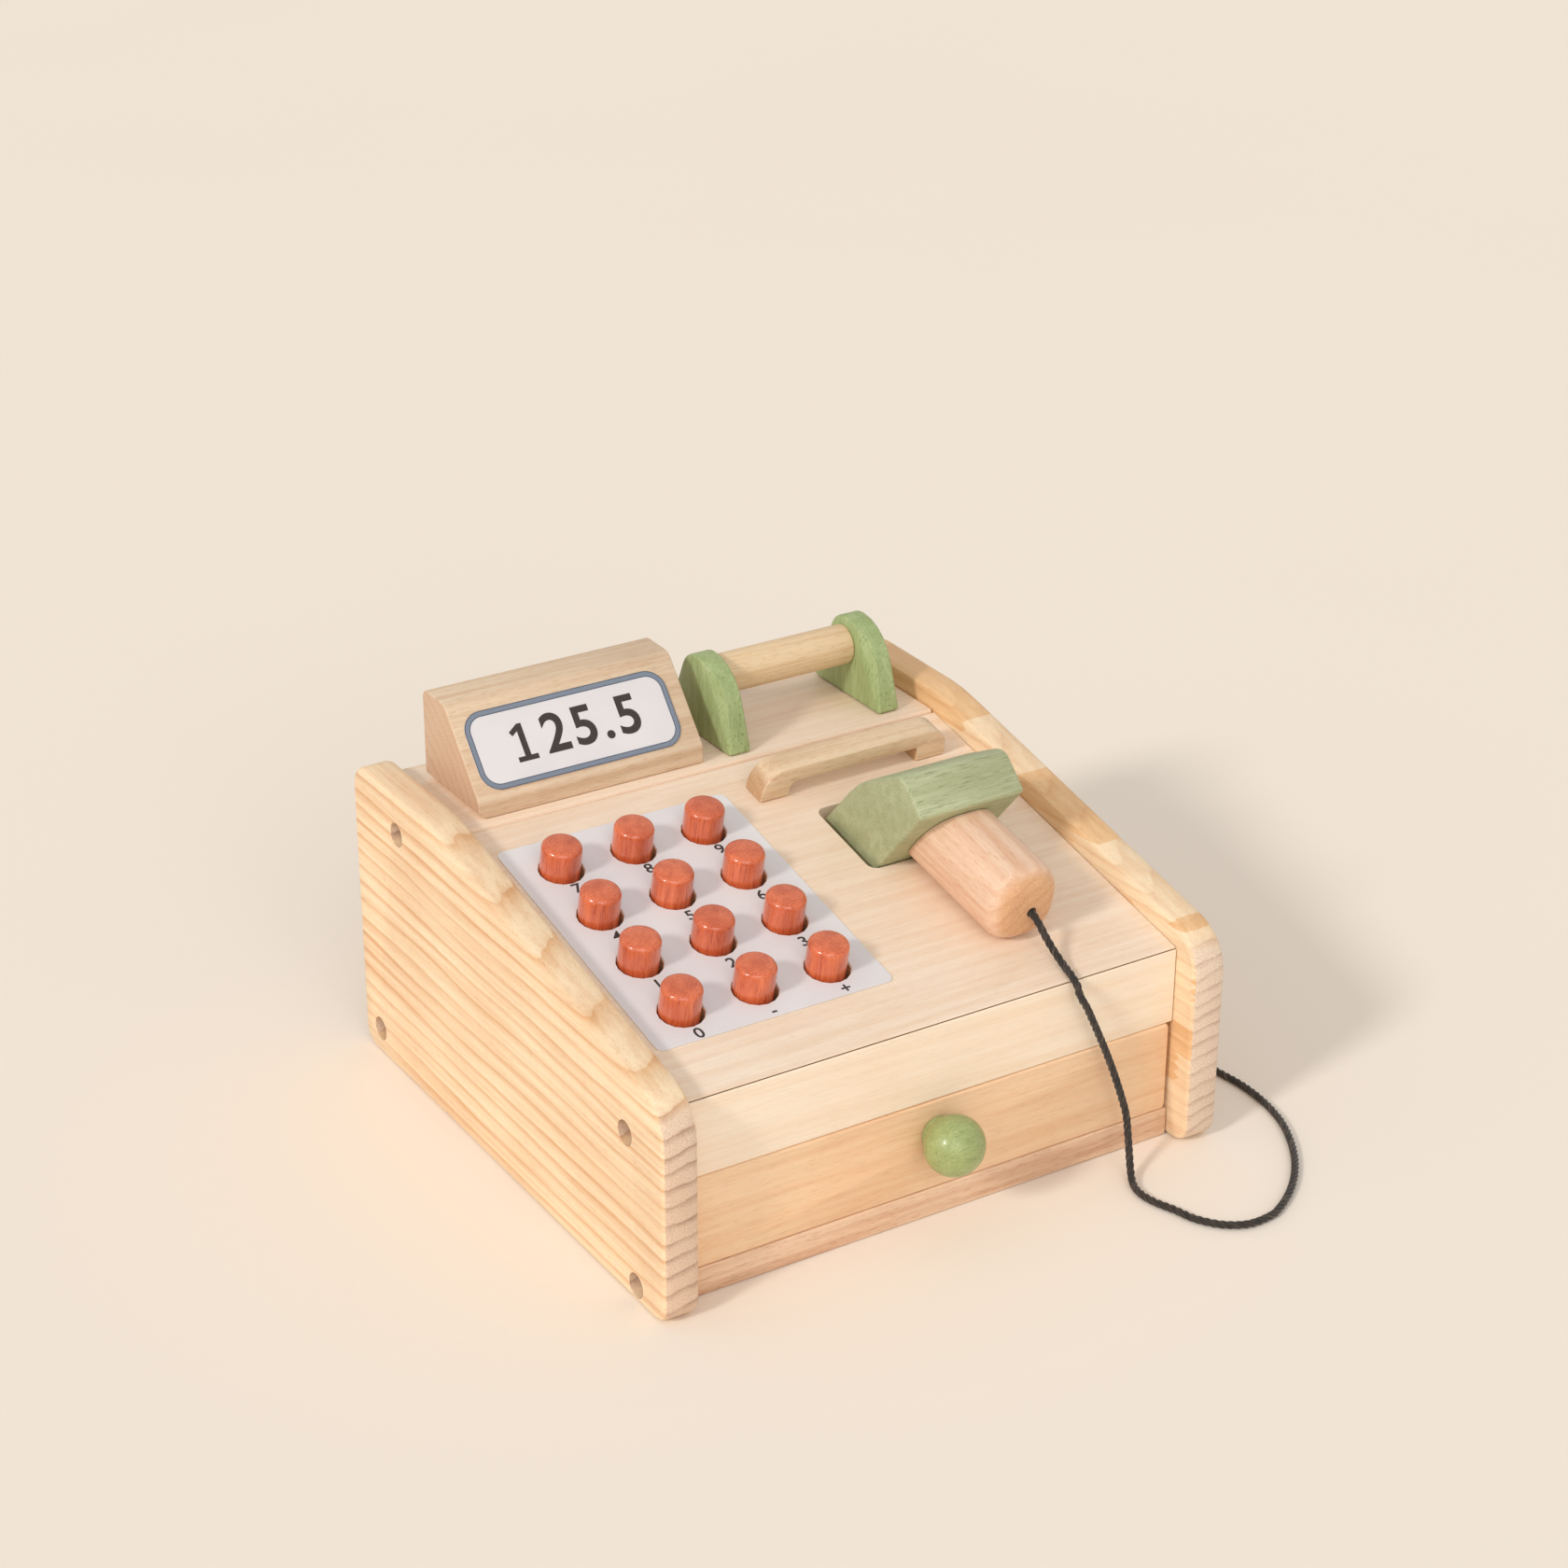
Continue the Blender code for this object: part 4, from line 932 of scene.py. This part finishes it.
def make_handle():
    """A grip with soft shoulders: a superellipse swept to the head, cut square to its face."""
    turned = Matrix.Rotation(HANDLE_TURN, 3, OFF_SLOPE) @ Matrix.Rotation(HANDLE_RISE, 3, ALONG_X)
    side, axis, rise = (turned @ way for way in (ALONG_X, UP_SLOPE, OFF_SLOPE))
    matrix = axes(on_slope(*HANDLE_END), side, rise, -axis)
    form = bmesh.new()
    loops = []
    for depth, inset in handle_sections():
        halves = [half - inset for half in HANDLE_HALVES]
        outline = superellipse(*halves, HANDLE_SQUARENESS, HANDLE_SIDES)
        loops.append([form.verts.new(matrix @ Vector((x, y, -depth))) for x, y in outline])
    for loop, after in zip(loops, loops[1:]):
        for index in range(HANDLE_SIDES):
            following = (index + 1) % HANDLE_SIDES
            form.faces.new((loop[index], loop[following], after[following], after[index]))
    form.faces.new(loops[0])
    form.faces.new(loops[-1])
    cut_at_head(form)
    bmesh.ops.recalc_face_normals(form, faces=form.faces)
    handle = into_scene("scanner_handle_shaped", mesh_from(form, "handle"), HANDLE_WOOD)
    radius, depth, x, y = CORD_HOLE
    profile = [(0, depth), (radius, depth), (radius, -depth), (0, -depth)]
    hole = lathe("cord_hole", profile, matrix @ Matrix.Translation((x, y, 0)), 32)
    bore(handle, into_scene("cord_hole", hole, HANDLE_WOOD))
    stand_for(handle, "scanner_handle")


def bore(made, cutter):
    """Cuts cutter out of a piece for good."""
    boolean = made.modifiers.new("bore", "BOOLEAN")
    boolean.object = cutter
    boolean.solver = "EXACT"
    bpy.context.view_layer.update()
    graph = bpy.context.evaluated_depsgraph_get()
    mesh = bpy.data.meshes.new_from_object(made.evaluated_get(graph))
    made.modifiers.clear()
    made.data = mesh
    mesh.set_sharp_from_angle(angle=SHARP)
    bpy.data.objects.remove(cutter)


# Print

DIGIT_PLACES = (  # the U of each row of digits, and what it says
    (0.0374, ("0", "-", "+")),
    (0.0675, ("1", "2", "3")),
    (0.0984, ("4", "5", "6")),
    (0.1300, ("7", "8", "9")),
)
DIGIT_SIZE = 0.0078
DIGIT_WEIGHT = 0.00010
PRINT_THICKNESS = 0.00006
KEYPAD_FACE = 0.00019  # off the middle of the keypad's label
DISPLAY_LIFT = 0.00002  # off the display's label
DISPLAY_TEXT = "25.5"
DISPLAY_TEXT_SIZE = 0.0226
DISPLAY_TEXT_WEIGHT = 0.00042
DISPLAY_TEXT_SPACING = 1.16
DISPLAY_TEXT_PLACE = (0.0082, 0.0)  # middle of the text, across and up from the label's middle
DISPLAY_ONE = (  # the outline of the first digit, which has a flag and a foot
    (-0.0044, -0.0077),
    (0.0044, -0.0077),
    (0.0044, -0.0056),
    (0.0014, -0.0056),
    (0.0014, 0.0079),
    (-0.0005, 0.0079),
    (-0.0047, 0.0051),
    (-0.0037, 0.0033),
    (-0.0012, 0.0049),
    (-0.0012, -0.0056),
    (-0.0044, -0.0056),
)
DISPLAY_ONE_PLACE = (-0.0226, 0.0)
DISPLAY_FRAME = (0.0085, 0.0024, 0.0004)  # corner, width, and width of its outlines


def make_keypad_print():
    columns = [key_foot(f"button_{key}").x for key in ("1", "2", "3")]
    label = (middle("keypad_label") - on_slope(0, 0, 0)).dot(OFF_SLOPE)
    lift = label + KEYPAD_FACE + PRINT_THICKNESS / 2
    placed = []
    for u, digits in DIGIT_PLACES:
        for x, digit in zip(columns, digits):
            placed.append((digit, slope_matrix(on_slope(x - CORNER.x, u, lift))))
    mesh = lettering("keypad_digits", placed, DIGIT_SIZE, PRINT_THICKNESS, DIGIT_WEIGHT)
    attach(into_scene("keypad_digits", mesh, DIGIT_INK), "root")


def display_matrix():
    """The frame of the display label's face: X across, Y up the face."""
    mesh = NODES["display_label"].data
    face = max(mesh.polygons, key=lambda polygon: polygon.area)
    normal = face.normal if face.normal.y < 0 else -face.normal
    return axes(middle("display_label"), ALONG_X, normal.cross(ALONG_X), normal)


def make_display_print():
    matrix = display_matrix()
    inverse = matrix.inverted()
    points = [inverse @ vertex.co for vertex in NODES["display_label"].data.vertices]
    half_x = max(point.x for point in points)
    half_y = max(point.y for point in points)
    face = max(point.z for point in points) + DISPLAY_LIFT
    corner, width, line = DISPLAY_FRAME
    insets = (0.0, line, width - line, width)
    outlines = [rounded_rectangle(half_x - i, half_y - i, corner - i) for i in insets]
    inks = (FRAME_LINE, FRAME_INK, FRAME_LINE)
    for index, (outer, inner, coat) in enumerate(zip(outlines, outlines[1:], inks)):
        mesh = ring_plate("frame", outer, inner, matrix, face, face + PRINT_THICKNESS)
        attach(into_scene(f"display_frame_{index}", mesh, coat), "root")
    place = matrix @ Matrix.Translation((*DISPLAY_TEXT_PLACE, face + PRINT_THICKNESS / 2))
    text = [(DISPLAY_TEXT, place)]
    size, weight = DISPLAY_TEXT_SIZE, DISPLAY_TEXT_WEIGHT
    mesh = lettering("display_digits", text, size, PRINT_THICKNESS, weight, DISPLAY_TEXT_SPACING)
    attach(into_scene("display_digits", mesh, DIGIT_INK), "root")
    x, y = DISPLAY_ONE_PLACE
    mesh = plate("display_one", [Vector((x + a, y + b)) for a, b in DISPLAY_ONE], matrix, face)
    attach(into_scene("display_one", mesh, DIGIT_INK), "root")


# Cord


def smooth_path(points, spacing):
    """Points about spacing apart on a Catmull-Rom curve through points."""
    ends = [points[0] * 2 - points[1], *points, points[-1] * 2 - points[-2]]
    path = []
    for before, start, stop, after in zip(ends, ends[1:], ends[2:], ends[3:]):
        steps = max(1, round((stop - start).length / spacing))
        for step in range(steps):
            t = step / steps
            bend = (before * 2 - start * 5 + stop * 4 - after) * t * t
            twist = (start * 3 - before - stop * 3 + after) * t * t * t
            path.append((start * 2 + (stop - before) * t + bend + twist) / 2)
    path.append(points[-1])
    return path


def transported(points):
    """(point, two directions square to the line) for each point, with no twist."""
    made = []
    side = None
    for index, point in enumerate(points):
        before, after = points[max(index - 1, 0)], points[min(index + 1, len(points) - 1)]
        along = (after - before).normalized()
        if side is None:
            side = along.orthogonal().normalized()
        side = (side - along * side.dot(along)).normalized()
        made.append((point, side, along.cross(side)))
    return made


def tube(name, points, radius, count, strands=0):
    """A closed tube, round or with the section of so many strands twisted together."""
    form = bmesh.new()
    layer = form.loops.layers.uv.new("strands")
    frames = transported(points)
    travelled = 0.0
    lengths = []
    rings = []
    for index, (point, side, other) in enumerate(frames):
        if index:
            travelled += (point - frames[index - 1][0]).length
        lengths.append(travelled)
        ring = []
        for step in range(count):
            angle = 2 * math.pi * step / count
            twist = 2 * math.pi * travelled / CORD_PITCH
            reach = radius * strand_reach(angle - twist, strands) if strands else radius
            ring.append(form.verts.new(point + (side * math.cos(angle) + other * math.sin(angle)) * reach))
        rings.append(ring)
    for row, (ring, after) in enumerate(zip(rings, rings[1:])):
        for step in range(count):
            following = (step + 1) % count
            face = form.faces.new((ring[step], ring[following], after[following], after[step]))
            corners = ((step, row), (step + 1, row), (step + 1, row + 1), (step, row + 1))
            for loop, (turn, at_row) in zip(face.loops, corners):
                along = lengths[at_row]
                loop[layer].uv = (turn / count - along / CORD_PITCH, along)
    form.faces.new(rings[0])
    form.faces.new(rings[-1])
    bmesh.ops.recalc_face_normals(form, faces=form.faces)
    return mesh_from(form, name)


def strand_reach(angle, strands):
    """How far the outside of strands round strands lying together is from the middle, as a share."""
    sector = 2 * math.pi / strands
    offset = (angle + sector / 2) % sector - sector / 2
    half_sine = math.sin(sector / 2)
    place = half_sine / (1 + half_sine)
    out = 1 / (1 + half_sine)
    swell = max(place * place - (out * math.sin(offset)) ** 2, 0.0)
    return max(out * math.cos(offset) + math.sqrt(swell), STRAND_DEPTH)


def seam_end(path, index, side):
    """Two points that end a stretch just short of a seam; side is 1 after it and -1 before it."""
    along = (path[index + 1] - path[index - 1]).normalized() * side
    return [path[index] + along * CORD_GAP / 2, path[index] + along * CORD_RADIUS]


CORD_STRETCHES = (  # node, the bodies of its two ends, and where the first one stops and the second starts
    ("cord_deck", "scanner", "root", on_slope(0.1824, 0.0333, 0.0147), on_slope(0.1857, 0.0090, 0.0018)),
    ("cord_table", "root", "drawer", at(0.19, 0.006, 0.0770), at(0.19, 0.006, 0.0530)),
    ("cord_rear", "drawer", "root", at(0.279, CORD_SPLITS[1] + 0.004, 0.0), at(0.279, 0.1060, 0.0)),
)
MEASURED_STEP = 6  # rings of the mesh from one measured point to the next


def cord_stretches():
    """The points of each stretch of the cord, with gaps at the seams."""
    route = [on_slope(*place) for place in INSIDE_HANDLE + DECK_ROUTE]
    route += [at(*place) for place in FLOOR_ROUTE]
    path = smooth_path(route, CORD_SPACING)
    lowest = min(range(len(path)), key=lambda i: path[i].z)
    edge = next(i for i in range(len(path)) if path[i].z < CORD_SPLITS[0])
    back = next(i for i in range(lowest, len(path)) if path[i].y > at(0, CORD_SPLITS[1], 0).y)
    stretches = []
    for first, last in ((0, edge), (edge, back), (back, len(path) - 1)):
        points = path[first : last + 1]
        if first > 0:
            points[:1] = seam_end(path, first, 1)
        if last < len(path) - 1:
            points[-1:] = reversed(seam_end(path, last, -1))
        stretches.append(points)
    return stretches


def make_cords():
    """The three stretches of the cord."""
    for points, (name, body, next_body, start, stop) in zip(cord_stretches(), CORD_STRETCHES):
        fine = smooth_path(points, CORD_DETAIL)
        mesh = tube(name, fine, CORD_RADIUS, CORD_SIDES, CORD_STRANDS)
        cord = into_scene(f"{name}_braided", mesh, BRAID, math.radians(80))
        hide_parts(name)
        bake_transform(cord)
        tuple(start)
        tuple(stop)
        line = [fine[0], *fine[MEASURED_STEP:-MEASURED_STEP:MEASURED_STEP], fine[-1]]
        length = sum((q - p).length for p, q in zip(line, line[1:]))
        tuple(points[0])
        [tuple(p) for p in line]


# Setting


def make_camera():
    camera = bpy.data.objects.new("camera", bpy.data.cameras.new("camera"))
    bpy.context.scene.collection.objects.link(camera)
    camera.data.lens = CAMERA_LENS
    camera.data.clip_start = 0.05
    camera.matrix_world = axes(CAMERA_PLACE, CAMERA_RIGHT, CAMERA_BACK.cross(CAMERA_RIGHT), CAMERA_BACK)
    bpy.context.scene.camera = camera


FLOOR_HALF = 9.0
FLOOR_DROP = 0.0001


def make_floor():
    form = bmesh.new()
    corners = ((-1, -1), (1, -1), (1, 1), (-1, 1))
    form.faces.new([form.verts.new((x * FLOOR_HALF, y * FLOOR_HALF, -FLOOR_DROP)) for x, y in corners])
    ground = plaster("floor", srgb("F4E9DC"), srgb("F0E3D5"))
    into_scene("floor", mesh_from(form, "floor"), ground)


def add_sun(name, towards, strength, angle, colour):
    """A soft distant light; towards is the direction to it."""
    light = bpy.data.lights.new(name, "SUN")
    light.energy = strength
    light.angle = angle
    light.color = colour
    made = bpy.data.objects.new(name, light)
    bpy.context.scene.collection.objects.link(made)
    made.rotation_euler = Vector(towards).to_track_quat("Z", "Y").to_euler()


WORLD_COLOUR = (1.0, 0.985, 0.965, 1)
WORLD_STRENGTH = 0.62
SUNS = (  # name, direction to it, strength, angle and colour
    ("key", (-0.80, -0.22, 0.52), 1.35, math.radians(9), (1.0, 0.98, 0.95)),
    ("front", (-0.25, -0.85, 0.55), 0.75, math.radians(40), (1.0, 0.99, 0.97)),
)


def make_lights():
    world = bpy.data.worlds.new("studio")
    world.use_nodes = True
    background = world.node_tree.nodes["Background"]
    background.inputs["Color"].default_value = WORLD_COLOUR
    background.inputs["Strength"].default_value = WORLD_STRENGTH
    bpy.context.scene.world = world
    for sun in SUNS:
        add_sun(*sun)
    bpy.context.scene.view_settings.view_transform = "Standard"


make_camera()
make_cords()
make_boards()
make_keys()
make_knob()
make_dowel()
make_handle()
make_keypad_print()
make_display_print()
make_floor()
make_lights()
